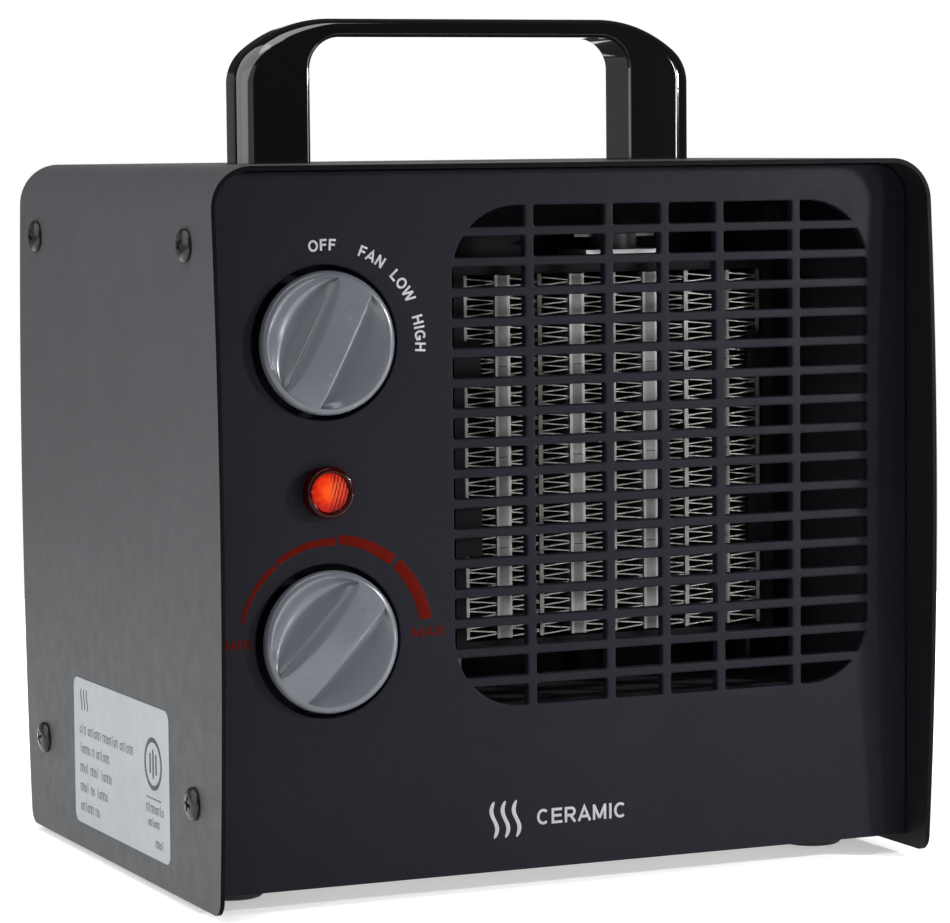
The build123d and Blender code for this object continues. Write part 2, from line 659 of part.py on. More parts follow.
# ---------------------------------------------------------------- heater core
RIM_T = 3.0                   # walls of the frame round the core
CLIP_W = 4.8
CLIP_ZS = ((84.8, 99.6), (130.5, 142.5))
FRAME_FRONT_Y = CORE_Y - 1.5
FRAME_PLATE_Y = DUCT_BACK_Y + GAP
FRAME_PLATE_T = 3.2
core_mid = (GRILLE_X, CORE_MID_Z)
with BuildPart() as heater_frame:
    with BuildSketch(at_depth(FRAME_PLATE_Y)):
        with Locations(duct_mid):
            Rectangle(duct_size[0] + 2 * DUCT_T, duct_size[1] + 2 * DUCT_T)
    extrude(amount=-FRAME_PLATE_T)
    with BuildSketch(at_depth(FRAME_FRONT_Y)):
        with Locations(core_mid):
            Rectangle(CORE_W + 2 * RIM_T + 0.6, CORE_H + 2 * RIM_T + 0.6)
    extrude(amount=-(FRAME_PLATE_Y - FRAME_FRONT_Y))
    with BuildSketch(at_depth(CORE_Y - 0.2)):
        with Locations(core_mid):
            Rectangle(CORE_W + 0.6, CORE_H + 0.6)
    extrude(amount=-40, mode=Mode.SUBTRACT)
    with BuildSketch(at_depth(FRAME_FRONT_Y)):
        with Locations(core_mid):
            Rectangle(CORE_W + 0.6, CORE_H + 0.6)
        for clip_low, clip_high in CLIP_ZS:
            for side in (-1, 1):
                with Locations((GRILLE_X + side * (CORE_W / 2 + 0.3), (clip_low + clip_high) / 2)):
                    Rectangle(2 * CLIP_W, clip_high - clip_low, mode=Mode.SUBTRACT)
    extrude(amount=-2.0, mode=Mode.SUBTRACT)
    # holes for the corner screws, and slots for the terminal tails
    with BuildSketch(at_depth(FRAME_PLATE_Y)):
        with Locations(duct_mid):
            with GridLocations(duct_size[0] - 12, duct_size[1] - 12, 2, 2):
                Circle(2.1)
    extrude(amount=-FRAME_PLATE_T, mode=Mode.SUBTRACT)
    with BuildSketch(Plane.XY.offset(CORE_Z0 - 8)):
        with Locations(*tail_places):
            Rectangle(STRIP_T + 0.6, TAIL_W + 0.6)
    extrude(amount=9, mode=Mode.SUBTRACT)
save(heater_frame.part, "heater_frame")

FIN_T = 0.3
FIN_FOLDS = 74
FIN_RISE = (CORE_H - FIN_T - 0.4) / FIN_FOLDS
FOLD_SHARE = 0.4              # part of each rise taken by the flat of a fold


def fin_path(width):
    """Zigzag of one corrugated fin, from the bottom to the top, as (x, z) points."""
    points = [(0.0, 0.0)]
    x = 0.0
    z = 0.0
    for _ in range(FIN_FOLDS):
        x = width - x
        z += FIN_RISE * (1 - FOLD_SHARE)
        points.append((x, z))
        z += FIN_RISE * FOLD_SHARE
        points.append((x, z))
    return points[:-1]


with BuildPart() as fin:
    with BuildSketch(Plane.XZ):
        with BuildLine():
            Polyline(*fin_path(FIN_W - FIN_T - 0.1))
        trace(line_width=FIN_T)
    extrude(amount=-(CORE_DEPTH - 1))

fin_places = []
for unit in range(UNITS):
    unit_x = CORE_X0 + unit * UNIT_W + STRIP_T
    for fin_x in (unit_x, unit_x + FIN_W + 2 * CONTACT_T + STONE_T):
        fin_places.append((fin_x + FIN_T / 2 + 0.05, CORE_Y + 0.5, CORE_Z0 + FIN_T / 2 + 0.2))
with BuildPart() as heater_fins:
    with Locations(*fin_places):
        add(fin.part)
save(heater_fins.part, "heater_fins")

STONE_H = CORE_H / STONES_PER_COLUMN
with BuildPart() as ceramic_stones:
    for unit in range(UNITS):
        stone_x = CORE_X0 + unit * UNIT_W + STRIP_T + FIN_W + CONTACT_T + STONE_T / 2
        with BuildSketch(at_depth(CORE_Y)):
            with Locations((stone_x, CORE_MID_Z)):
                with GridLocations(1, STONE_H, 1, STONES_PER_COLUMN):
                    Rectangle(STONE_T, STONE_H - 0.2)
    extrude(amount=-CORE_DEPTH)
save(ceramic_stones.part, "ceramic_stones")

with BuildPart() as contact_plates:
    with BuildSketch(at_depth(CORE_Y)):
        for unit in range(UNITS):
            stone_x = CORE_X0 + unit * UNIT_W + STRIP_T + FIN_W + CONTACT_T + STONE_T / 2
            for side in (-1, 1):
                with Locations((stone_x + side * (STONE_T + CONTACT_T) / 2, CORE_MID_Z)):
                    Rectangle(CONTACT_T, CORE_H)
    extrude(amount=-CORE_DEPTH)
save(contact_plates.part, "contact_plates")

with BuildPart() as electrode_strips:
    with BuildSketch(at_depth(CORE_Y)):
        for strip in range(UNITS + 1):
            with Locations((CORE_X0 + STRIP_T / 2 + strip * UNIT_W, CORE_MID_Z)):
                Rectangle(STRIP_T, CORE_H)
    extrude(amount=-CORE_DEPTH)
    with BuildSketch(Plane.XY.offset(CORE_Z0)):
        with Locations(*tail_places):
            Rectangle(STRIP_T, TAIL_W)
    extrude(amount=-(CORE_Z0 - TAIL_TIP_Z))
save(electrode_strips.part, "electrode_strips")

# thermal cutoff on its bracket above the core
CUTOFF_X = 31.0
CUTOFF_Z = CORE_Z0 + CORE_H + RIM_T + 1.6
with BuildPart() as cutoff_bracket:
    with BuildSketch(Plane.XY.offset(CUTOFF_Z)):
        with Locations((CUTOFF_X, (CORE_Y - 1.2 + FRAME_PLATE_Y) / 2)):
            Rectangle(23, FRAME_PLATE_Y - CORE_Y + 1.2)
    extrude(amount=1.6)
save(cutoff_bracket.part, "cutoff_bracket")
with BuildPart() as thermal_cutoff:
    with BuildSketch(Plane.XY.offset(CUTOFF_Z + 1.6)):
        with Locations((CUTOFF_X, CORE_Y + 7.5)):
            Circle(7.0)
    extrude(amount=5.0)
    chamfer(faces().sort_by(Axis.Z)[-1].edges(), 0.8)
    with BuildSketch(Plane.XY.offset(CUTOFF_Z + 5.0)):
        with Locations((CUTOFF_X - 9, CORE_Y + 7.5), (CUTOFF_X + 9, CORE_Y + 7.5)):
            Rectangle(6, 4.8)
    extrude(amount=0.8)
save(thermal_cutoff.part, "thermal_cutoff")

# ---------------------------------------------------------------- fan housing
LUG_X = 61.0
LUG_R = 4.8
BRIDGE_Y = 15.0
with BuildPart() as fan_housing:
    with BuildSketch(at_depth(FAN_PLATE_Y)):
        with Locations(duct_mid):
            Rectangle(duct_size[0] + 2 * DUCT_T, duct_size[1] + 2 * DUCT_T)
    extrude(amount=-FAN_PLATE_T)
    with BuildSketch(at_depth(FAN_PLATE_Y + FAN_PLATE_T)):
        with Locations(core_mid):
            Circle(RING_R + RING_T)
            with Locations((-LUG_X, 0), (LUG_X, 0)):
                Circle(LUG_R)
    extrude(amount=-(BRIDGE_Y - FAN_PLATE_Y - FAN_PLATE_T))
    with BuildSketch(at_depth(FAN_PLATE_Y)):
        with Locations(core_mid):
            Circle(RING_R)
    extrude(amount=-60, mode=Mode.SUBTRACT)
    with BuildSketch(at_depth(BRIDGE_Y)):
        with Locations((GRILLE_X - LUG_X, FAN_Z), (GRILLE_X + LUG_X, FAN_Z)):
            Circle(1.7)
    extrude(amount=16, mode=Mode.SUBTRACT)
    with BuildSketch(at_depth(FAN_PLATE_Y)):
        with Locations(duct_mid):
            with GridLocations(duct_size[0] - 12, duct_size[1] - 12, 2, 2):
                Circle(2.1)
    extrude(amount=-FAN_PLATE_T, mode=Mode.SUBTRACT)
save(fan_housing.part, "fan_housing")

corner_x = duct_size[0] / 2 - 6
corner_z = duct_size[1] / 2 - 6
core_screw_planes = [
    front_plane(duct_mid[0] + sx * corner_x, FRAME_PLATE_Y, duct_mid[1] + sz * corner_z)
    for sx in (-1, 1)
    for sz in (-1, 1)
]
core_screws = make_screws(core_screw_planes, 3.6, 2.0, 1.9, 8.0)
save(core_screws.part, "core_screws")

# ---------------------------------------------------------------- fan rotor and shaft
FAN_Y0 = -10.0
HUB_R = 15.0
HUB_T = 17.0
BLADES = 7
BLADE_THICK = 1.6
fan_face = front_plane(GRILLE_X, FAN_Y0, FAN_Z)


def blade_plane(radius, pitch_deg):
    """Plane of the blade's section at one radius, tilted by the blade's pitch."""
    tilt = math.radians(pitch_deg)
    chord_dir = (0, math.cos(tilt), math.sin(tilt))
    return Plane(origin=(radius, 0, 0), x_dir=chord_dir, z_dir=(1, 0, 0))


# radius, chord and pitch angle of the blade from root to tip
blade_stations = ((HUB_R - 1.0, 15.0, 48.0), (34.0, 27.0, 34.0), (FAN_R + 1.0, 34.0, 24.0))
with BuildPart() as blade:
    for radius, chord, pitch in blade_stations:
        with BuildSketch(blade_plane(radius, pitch)):
            SlotOverall(chord, BLADE_THICK)
    loft()
    with BuildSketch(Plane.XY.offset(-HUB_T)):
        Circle(FAN_R)
    extrude(amount=2 * HUB_T, mode=Mode.INTERSECT)
with BuildPart() as fan_rotor:
    with BuildSketch(fan_face):
        Circle(HUB_R)
    extrude(amount=-HUB_T)
    fillet(faces().sort_by(Axis.Y)[0].edges(), 3.0)
    with Locations(front_plane(GRILLE_X, FAN_Y0 + HUB_T / 2, FAN_Z).location):
        with PolarLocations(0, BLADES):
            add(blade.part)
    with BuildSketch(fan_face):
        Circle(SHAFT_R + RUNNING)
    extrude(amount=-HUB_T - 1, mode=Mode.SUBTRACT)
save(fan_rotor.part, "fan_rotor")

with BuildPart() as motor_shaft:
    with BuildSketch(at_depth(FAN_Y0 - 5)):
        with Locations(core_mid):
            Circle(SHAFT_R)
    extrude(amount=-(STACK_Y0 + STACK_T + 14.5 - FAN_Y0 + 5))
save(motor_shaft.part, "motor_shaft")

with BuildPart() as fan_clip:
    with BuildSketch(at_depth(FAN_Y0 - 0.2)):
        with Locations(core_mid):
            Circle(5.5)
            Circle(SHAFT_R + RUNNING, mode=Mode.SUBTRACT)
    extrude(amount=2.2)
save(fan_clip.part, "fan_clip")

# ---------------------------------------------------------------- motor
STATOR_W = 60.0
STATOR_LOW = 24.0
STATOR_HIGH = 44.0
LEG = 11.0
WINDOW_W = 36.0
WINDOW_H = 14.0
with BuildPart() as motor_stator:
    with BuildSketch(at_depth(STACK_Y0)):
        with Locations((GRILLE_X, FAN_Z + (STATOR_HIGH - STATOR_LOW) / 2)):
            RectangleRounded(STATOR_W, STATOR_HIGH + STATOR_LOW, 5)
        with Locations((GRILLE_X, FAN_Z + STATOR_HIGH - LEG - WINDOW_H / 2)):
            Rectangle(WINDOW_W, WINDOW_H, mode=Mode.SUBTRACT)
        with Locations(core_mid):
            Circle(ROTOR_R + 0.4, mode=Mode.SUBTRACT)
            with Locations((-MOTOR_BOLT_X, 0), (MOTOR_BOLT_X, 0)):
                Circle(2.2, mode=Mode.SUBTRACT)
    extrude(amount=-STACK_T)
save(motor_stator.part, "motor_stator")

COIL_Z = FAN_Z + STATOR_HIGH - LEG / 2
with BuildPart() as motor_coil:
    with BuildSketch(Plane.YZ.offset(GRILLE_X - 16.0)):
        with Locations((STACK_Y0 + STACK_T / 2, COIL_Z)):
            RectangleRounded(STACK_T + 22, LEG + 22, 6)
            Rectangle(STACK_T + 2.8, LEG + 2.8, mode=Mode.SUBTRACT)
    extrude(amount=32.0)
save(motor_coil.part, "motor_coil")

with BuildPart() as motor_bobbin:
    with BuildSketch(Plane.YZ.offset(GRILLE_X - 17.4)):
        with Locations((STACK_Y0 + STACK_T / 2, COIL_Z)):
            Rectangle(STACK_T + 2.4, LEG + 2.4)
    extrude(amount=34.8)
    for flange_x in (GRILLE_X - 17.4, GRILLE_X + 16.2):
        with BuildSketch(Plane.YZ.offset(flange_x)):
            with Locations((STACK_Y0 + STACK_T / 2, COIL_Z)):
                RectangleRounded(STACK_T + 24, LEG + 24, 4)
        extrude(amount=1.2)
    with BuildSketch(Plane.YZ.offset(GRILLE_X - 20)):
        with Locations((STACK_Y0 + STACK_T / 2, COIL_Z)):
            Rectangle(STACK_T + 0.4, LEG + 0.4)
    extrude(amount=40, mode=Mode.SUBTRACT)
save(motor_bobbin.part, "motor_bobbin")

with BuildPart() as motor_rotor:
    with BuildSketch(at_depth(STACK_Y0)):
        with Locations(core_mid):
            Circle(ROTOR_R)
            Circle(SHAFT_R + RUNNING, mode=Mode.SUBTRACT)
    extrude(amount=-STACK_T)
save(motor_rotor.part, "motor_rotor")

BRIDGE_T = 2.0
BEARING_R = 5.0
REAR_BRIDGE_Y = STACK_Y0 + STACK_T + 10.0


def bearing_bridge(y, half_length, bar_w, end_r, sleeve_y, sleeve_len):
    """Pressed bar that holds one bearing, with spacer sleeves on the motor bolts."""
    with BuildPart() as bridge:
        with BuildSketch(at_depth(y)):
            with Locations(core_mid):
                SlotOverall(2 * (half_length + end_r), bar_w)
                Circle(11.0)
        extrude(amount=-BRIDGE_T)
        with BuildSketch(at_depth(y)):
            with Locations(core_mid):
                Circle(8.0)
        extrude(amount=-8.0 if sleeve_y > y else 6.0)
        with BuildSketch(at_depth(sleeve_y)):
            with Locations(core_mid):
                with Locations((-MOTOR_BOLT_X, 0), (MOTOR_BOLT_X, 0)):
                    Circle(4.2)
        extrude(amount=-sleeve_len)
        with BuildSketch(at_depth(y - 20)):
            with Locations(core_mid):
                Circle(BEARING_R + GAP / 4)
                with Locations((-MOTOR_BOLT_X, 0), (MOTOR_BOLT_X, 0)):
                    Circle(2.2)
        extrude(amount=-50, mode=Mode.SUBTRACT)
    return bridge


sleeve_front_y = BRIDGE_Y + BRIDGE_T
front_bridge = bearing_bridge(BRIDGE_Y, LUG_X, 14.0, 7.0, sleeve_front_y, STACK_Y0 - sleeve_front_y)
with BuildPart() as motor_bridge_front:
    add(front_bridge.part)
    with BuildSketch(at_depth(BRIDGE_Y)):
        with Locations((GRILLE_X - LUG_X, FAN_Z), (GRILLE_X + LUG_X, FAN_Z)):
            Circle(2.0)
    extrude(amount=-BRIDGE_T, mode=Mode.SUBTRACT)
save(motor_bridge_front.part, "motor_bridge_front")
motor_bridge_rear = bearing_bridge(REAR_BRIDGE_Y, MOTOR_BOLT_X, 14.0, 7.0, STACK_Y0 + STACK_T, 10.0)
save(motor_bridge_rear.part, "motor_bridge_rear")

for bearing_name, bearing_y in (("bearing_front", BRIDGE_Y + 1.0), ("bearing_rear", REAR_BRIDGE_Y - 5.0)):
    with BuildPart() as bearing:
        with BuildSketch(at_depth(bearing_y)):
            with Locations(core_mid):
                Circle(BEARING_R)
                Circle(SHAFT_R + RUNNING, mode=Mode.SUBTRACT)
        extrude(amount=-6.0)
    save(bearing.part, bearing_name)

bolt_head_y = REAR_BRIDGE_Y + BRIDGE_T
bolt_planes = [
    Plane(origin=(GRILLE_X + side * MOTOR_BOLT_X, bolt_head_y, FAN_Z), x_dir=(1, 0, 0), z_dir=(0, 1, 0))
    for side in (-1, 1)
]
motor_bolts = make_screws(bolt_planes, 3.8, 2.6, 2.0, bolt_head_y - BRIDGE_Y + 5.0)
save(motor_bolts.part, "motor_bolts")
with BuildPart() as motor_nuts:
    with BuildSketch(at_depth(BRIDGE_Y)):
        with Locations((GRILLE_X - MOTOR_BOLT_X, FAN_Z), (GRILLE_X + MOTOR_BOLT_X, FAN_Z)):
            RegularPolygon(4.0, 6)
            Circle(2.05, mode=Mode.SUBTRACT)
    extrude(amount=3.2)
save(motor_nuts.part, "motor_nuts")
bridge_planes = [
    Plane(origin=(GRILLE_X + side * LUG_X, BRIDGE_Y + BRIDGE_T, FAN_Z), x_dir=(1, 0, 0), z_dir=(0, 1, 0))
    for side in (-1, 1)
]
bridge_screws = make_screws(bridge_planes, 3.4, 2.0, 1.6, 14.0)
save(bridge_screws.part, "bridge_screws")

# ---------------------------------------------------------------- tip-over switch
TIP_X = -72.0
TIP_Y = 12.0
TIP_Z0 = BASE_Z + BASE_T
TIP_H = 42.0
TIP_W = 22.0
TIP_D = 30.0
PIVOT_Z = TIP_Z0 + 31.0
with BuildPart() as tip_switch_case:
    with BuildSketch(Plane.XY.offset(TIP_Z0)):
        with Locations((TIP_X, TIP_Y)):
            RectangleRounded(TIP_W, TIP_D, 2)
    extrude(amount=TIP_H)
    with BuildSketch(Plane.XY.offset(TIP_Z0 + 1.6)):
        with Locations((TIP_X, TIP_Y)):
            Rectangle(TIP_W - 3.2, TIP_D - 3.2)
    extrude(amount=TIP_H - 3.2, mode=Mode.SUBTRACT)
    with BuildSketch(Plane.YZ.offset(TIP_X - TIP_W / 2 + 0.4)):
        with Locations((TIP_Y, PIVOT_Z)):
            Circle(1.25)
    extrude(amount=TIP_W - 0.8, mode=Mode.SUBTRACT)
save(tip_switch_case.part, "tip_switch_case")
with BuildPart() as tip_switch_pin:
    with BuildSketch(Plane.YZ.offset(TIP_X - TIP_W / 2 + 0.5)):
        with Locations((TIP_Y, PIVOT_Z)):
            Circle(1.2)
    extrude(amount=TIP_W - 1.0)
save(tip_switch_pin.part, "tip_switch_pin")
with BuildPart() as tip_switch_pendulum:
    with BuildSketch(Plane.YZ.offset(TIP_X - 5)):
        with Locations((TIP_Y, PIVOT_Z)):
            Circle(3.2)
        with Locations((TIP_Y, PIVOT_Z - 8)):
            Rectangle(4.0, 14.0)
        with Locations((TIP_Y, PIVOT_Z - 18)):
            Circle(7.0)
        with Locations((TIP_Y, PIVOT_Z)):
            Circle(1.2 + RUNNING, mode=Mode.SUBTRACT)
    extrude(amount=10)
save(tip_switch_pendulum.part, "tip_switch_pendulum")

# ---------------------------------------------------------------- terminal block
BLOCK_X = -64.0
BLOCK_Y = 44.0
with BuildPart() as terminal_block:
    with BuildSketch(Plane.XY.offset(TIP_Z0)):
        with Locations((BLOCK_X, BLOCK_Y)):
            RectangleRounded(34, 16, 1.5)
    extrude(amount=12)
    with BuildSketch(Plane.XY.offset(TIP_Z0 + 12)):
        with Locations((BLOCK_X, BLOCK_Y)):
            with GridLocations(11, 1, 3, 1):
                Circle(2.6)
    extrude(amount=-7, mode=Mode.SUBTRACT)
save(terminal_block.part, "terminal_block")
terminal_planes = [
    Plane(origin=(BLOCK_X + step * 11, BLOCK_Y, TIP_Z0 + 8.0), x_dir=(1, 0, 0), z_dir=(0, 0, 1))
    for step in (-1, 0, 1)
]
terminal_screws = make_screws(terminal_planes, 2.3, 1.4, 1.4, 2.6, recess=2.4)
save(terminal_screws.part, "terminal_screws")

# ---------------------------------------------------------------- internal wiring
LEAD_D = 2.4
ARC_SHARE = 0.45               # share of the shorter run that an arc takes at each corner
TAB_TIP_Y = TAB_Y + 8.0
LOWER_TAB_Z = MODE_Z - 7.0
UPPER_TAB_Z = MODE_Z + 7.0
CASE_TOP = TIP_Z0 + TIP_H
BLOCK_FRONT = BLOCK_Y - 8.0
SUPPLY_Z = TIP_Z0 + 3.6
LOW_HEAT_Y = -12.0
LOW_HEAT_Z = 22.0
HIGH_HEAT_Y = -18.0
HIGH_HEAT_Z = 16.0
MOTOR_LEAD_Y = STACK_Y0 + STACK_T + 6
coil_side_x = GRILLE_X - 17.4
return_x = tail_places[0][0]
low_x = tail_places[1][0]
high_x = tail_places[2][0]
lead_routes = {
    "tip-over switch to mode switch": [
        (KNOB_X - 8, TIP_Y - 8, CASE_TOP),
        (KNOB_X - 8, TIP_Y - 8, LOWER_TAB_Z),
        (KNOB_X - 8, TAB_TIP_Y, LOWER_TAB_Z),
    ],
    "mode switch to motor": [
        (KNOB_X + 8, TAB_TIP_Y, UPPER_TAB_Z),
        (KNOB_X + 8, MOTOR_LEAD_Y, UPPER_TAB_Z),
        (coil_side_x, MOTOR_LEAD_Y, UPPER_TAB_Z),
    ],
    "mode switch to heater, low heat": [
        (KNOB_X, TAB_TIP_Y, LOWER_TAB_Z),
        (KNOB_X, LOW_HEAT_Y, LOWER_TAB_Z),
        (KNOB_X, LOW_HEAT_Y, LOW_HEAT_Z),
        (low_x - 20, LOW_HEAT_Y, LOW_HEAT_Z),
        (low_x, TAIL_Y, LOW_HEAT_Z),
        (low_x, TAIL_Y, TAIL_TIP_Z),
    ],
    "mode switch to heater, high heat": [
        (KNOB_X + 8, TAB_TIP_Y, LOWER_TAB_Z),
        (KNOB_X + 8, HIGH_HEAT_Y, LOWER_TAB_Z),
        (KNOB_X + 8, HIGH_HEAT_Y, HIGH_HEAT_Z),
        (high_x - 20, HIGH_HEAT_Y, HIGH_HEAT_Z),
        (high_x, TAIL_Y, HIGH_HEAT_Z),
        (high_x, TAIL_Y, TAIL_TIP_Z),
    ],
    "heater to supply": [
        (BLOCK_X + 11, BLOCK_FRONT, SUPPLY_Z),
        (BLOCK_X + 11, TAIL_Y, SUPPLY_Z),
        (return_x, TAIL_Y, SUPPLY_Z),
        (return_x, TAIL_Y, TAIL_TIP_Z),
    ],
}
with BuildPart() as wiring:
    for lead_name, route_points in lead_routes.items():
        add(tube_lead(lead_name, route_points).part)
    # the short supply lead runs straight from the block into the tip-over switch
    with BuildSketch(at_depth(BLOCK_FRONT)):
        with Locations((BLOCK_X - 11, SUPPLY_Z)):
            Circle(LEAD_D / 2)
    extrude(amount=BLOCK_FRONT - TIP_Y - TIP_D / 2)
save(wiring.part, "wiring")
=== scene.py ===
"""Looks for the ceramic space heater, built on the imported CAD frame.

Metres in the row frame: +X to the right, the front faces -Y, +Z up.
"""

import bpy
import bmesh
from itertools import product
from math import atan2, cos, degrees, dist, hypot, pi, radians, sin, sqrt, tan
from mathutils import Matrix, Vector
from mathutils.geometry import tessellate_polygon


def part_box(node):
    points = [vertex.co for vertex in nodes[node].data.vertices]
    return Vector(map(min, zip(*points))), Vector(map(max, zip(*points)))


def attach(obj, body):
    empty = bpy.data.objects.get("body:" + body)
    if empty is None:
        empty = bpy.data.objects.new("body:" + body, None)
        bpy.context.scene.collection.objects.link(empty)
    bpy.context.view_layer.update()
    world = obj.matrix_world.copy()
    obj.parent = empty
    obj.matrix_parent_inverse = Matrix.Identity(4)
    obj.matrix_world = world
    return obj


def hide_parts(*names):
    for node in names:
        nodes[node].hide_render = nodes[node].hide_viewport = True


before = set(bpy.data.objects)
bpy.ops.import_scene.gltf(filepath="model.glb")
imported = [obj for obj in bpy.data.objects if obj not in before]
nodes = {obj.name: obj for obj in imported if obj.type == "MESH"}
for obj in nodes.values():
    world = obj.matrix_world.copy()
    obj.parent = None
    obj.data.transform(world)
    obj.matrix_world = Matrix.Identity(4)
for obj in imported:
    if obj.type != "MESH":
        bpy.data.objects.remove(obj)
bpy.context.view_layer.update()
MM = 0.001


def corners(node):
    """Lowest and highest corner of a CAD node, in millimetres."""
    low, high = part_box(node)
    return low / MM, high / MM


def middle(node):
    low, high = corners(node)
    return (low + high) / 2


# ---- materials
def start_material(name):
    material = bpy.data.materials.new(name)
    material.use_nodes = True
    tree = material.node_tree
    return material, tree, tree.nodes["Principled BSDF"]


def feed(tree, node, *ordered, **named):
    """Fill a node's inputs, by place or by name: an output is linked, anything else is a fixed value."""
    pairs = list(zip(node.inputs, ordered))
    pairs += [(node.inputs[key.replace("_", " ")], value) for key, value in named.items()]
    for socket, value in pairs:
        if isinstance(value, bpy.types.NodeSocket):
            tree.links.new(value, socket)
        else:
            socket.default_value = value
    return node


def add_node(tree, kind, *ordered, operation=None, **named):
    node = tree.nodes.new("ShaderNode" + kind)
    if operation:
        node.operation = operation
    return feed(tree, node, *ordered, **named)


def object_coords(tree, stretch=(1, 1, 1)):
    """Object coordinates in millimetres, stretched if asked."""
    coords = add_node(tree, "TexCoord").outputs["Object"]
    return add_node(tree, "Mapping", Vector=coords, Scale=[1000.0 * s for s in stretch]).outputs["Vector"]


def noise(tree, vector, size_mm, detail=3.0, roughness=0.55):
    sizes = {"Scale": 1.0 / size_mm, "Detail": detail, "Roughness": roughness}
    return add_node(tree, "TexNoise", Vector=vector, **sizes).outputs["Fac"]


def map_range(tree, source, from_low, from_high, to_low, to_high):
    return add_node(tree, "MapRange", source, from_low, from_high, to_low, to_high).outputs[0]


def blend_colors(tree, factor, *stops):
    """Colour ramp through (place, colour) stops."""
    ramp = add_node(tree, "ValToRGB", factor)
    elements = ramp.color_ramp.elements
    while len(elements) < len(stops):
        elements.new(0.5)
    for element, (place, color) in zip(elements, stops):
        element.position = place
        element.color = (*color, 1)
    return ramp.outputs[0]


def scale_color(tree, color, factor):
    """Colour output multiplied by a number output."""
    return add_node(tree, "VectorMath", color, operation="SCALE", Scale=factor).outputs[0]


def axis_output(tree, coords, axis):
    """One coordinate of a vector output."""
    return add_node(tree, "SeparateXYZ", coords).outputs[axis]


def length_output(tree, vector):
    return add_node(tree, "VectorMath", vector, operation="LENGTH").outputs["Value"]


def add_bumps(tree, shader, layers):
    """Bump layers from (height output, strength, height in millimetres), coarsest first."""
    below = {}
    for height, strength, distance in layers:
        bump = add_node(tree, "Bump", Height=height, Strength=strength, Distance=distance * MM, **below)
        below = {"Normal": bump.outputs["Normal"]}
    feed(tree, shader, **below)


def surface(name, color, rough, tone=0.06, tone_mm=22.0, rough_swing=0.05, grain_mm=0.5, grain=0.25,
            grain_depth=0.03, metallic=0.0, specular=0.5, coat=0.0, stretch=(1, 1, 1), scuff=0.0, fleck=0.0,
            painted_shade_above=None):
    """Moulded, painted or rolled surface: cloudy tone, uneven gloss, fine grain, a few scuffs, and painted
    shade above a height where asked.
    """
    material, tree, shader = start_material(name)
    coords = object_coords(tree)
    grain_coords = object_coords(tree, stretch) if stretch != (1, 1, 1) else coords
    clouds = noise(tree, coords, tone_mm, 4.0)
    darker = tuple(c * (1 - tone) for c in color)
    lighter = tuple(min(1.0, c * (1 + tone)) for c in color)
    spread = map_range(tree, clouds, 0.35, 0.65, 0.0, 1.0)
    base = blend_colors(tree, spread, (0.0, darker), (1.0, lighter))
    specks = noise(tree, grain_coords, grain_mm, 2.0)
    if scuff > 0:
        marks = noise(tree, object_coords(tree, (1, 0.12, 0.35)), 1.6, 6.0, 0.7)
        mask = map_range(tree, marks, 0.68, 0.74, 0.0, scuff)
        worn = tuple(min(1.0, c * 1.7 + 0.02) for c in color)
        mix = add_node(tree, "Mix")
        mix.data_type = "RGBA"
        base = feed(tree, mix, Factor=mask, A=base, B=(*worn, 1)).outputs["Result"]
    if fleck > 0:
        base = scale_color(tree, base, map_range(tree, specks, 0.36, 0.64, 1 - fleck, 1 + fleck))
    # painted shade: above the given height the colour goes near black, standing in for the shade under the
    # top of the casing
    if painted_shade_above is not None:
        height = axis_output(tree, coords, "Z")
        shade = map_range(tree, height, painted_shade_above - 0.2, painted_shade_above + 0.2, 1.0, 0.06)
        base = scale_color(tree, base, shade)
    gloss = noise(tree, coords, 6.0, 5.0)
    uneven = map_range(tree, gloss, 0.3, 0.7, rough - rough_swing, rough + rough_swing)
    feed(tree, shader, Base_Color=base, Roughness=uneven, Metallic=metallic, Specular_IOR_Level=specular,
         Coat_Weight=coat, Coat_Roughness=0.08)
    add_bumps(tree, shader, [(gloss, 0.1, 0.02), (specks, grain, grain_depth)])
    return material


def glowing_lens():
    """Clear red lens lit from inside: orange core, ribs across one side, dark red rim."""
    material, tree, shader = start_material("lens_glow")
    coords = object_coords(tree)
    glow_centre = (LAMP_X - 0.2, 0, LAMP_Z + 0.5)
    places = add_node(tree, "VectorMath", coords, glow_centre, operation="SUBTRACT").outputs[0]
    flat = add_node(tree, "VectorMath", places, (1, 0, 1), operation="MULTIPLY").outputs[0]
    wobble = noise(tree, coords, 1.3, 2.0)
    distance = add_node(tree, "Math", wobble, 3.2, length_output(tree, flat), operation="MULTIPLY_ADD")
    spread = map_range(tree, distance.outputs[0], 2.6, 10.0, 0.0, 1.0)
    core = blend_colors(
        tree, spread, (0.0, (0.95, 0.1, 0.01)), (0.26, (0.82, 0.042, 0.004)), (0.46, (0.5, 0.012, 0.002)),
        (0.66, (0.13, 0.003, 0.001)), (1.0, (0.012, 0.0006, 0.0005)))
    # ribs moulded across the right half catch less of the glow
    slant = add_node(tree, "Mapping", Vector=coords, Rotation=(0, radians(-16), 0)).outputs["Vector"]
    ribs = add_node(tree, "TexWave", Vector=slant, Scale=0.32, Distortion=0.6).outputs["Fac"]
    rib_shade = map_range(tree, ribs, 0.15, 0.6, 0.8, 0.0)
    reach = map_range(tree, axis_output(tree, coords, "X"), LAMP_X - 0.4, LAMP_X + 0.8, 0.0, 1.0)
    shade = add_node(tree, "Math", rib_shade, reach, operation="MULTIPLY").outputs[0]
    light = map_range(tree, shade, 0.0, 1.0, 1.0, 0.0)
    feed(tree, shader, Emission_Color=scale_color(tree, core, light), Emission_Strength=1.0,
         Base_Color=(0.02, 0.001, 0.0006, 1), Roughness=0.3, Specular_IOR_Level=0.08)
    add_bumps(tree, shader, [(noise(tree, coords, 0.9, 2.0), 0.3, 0.06)])
    return material


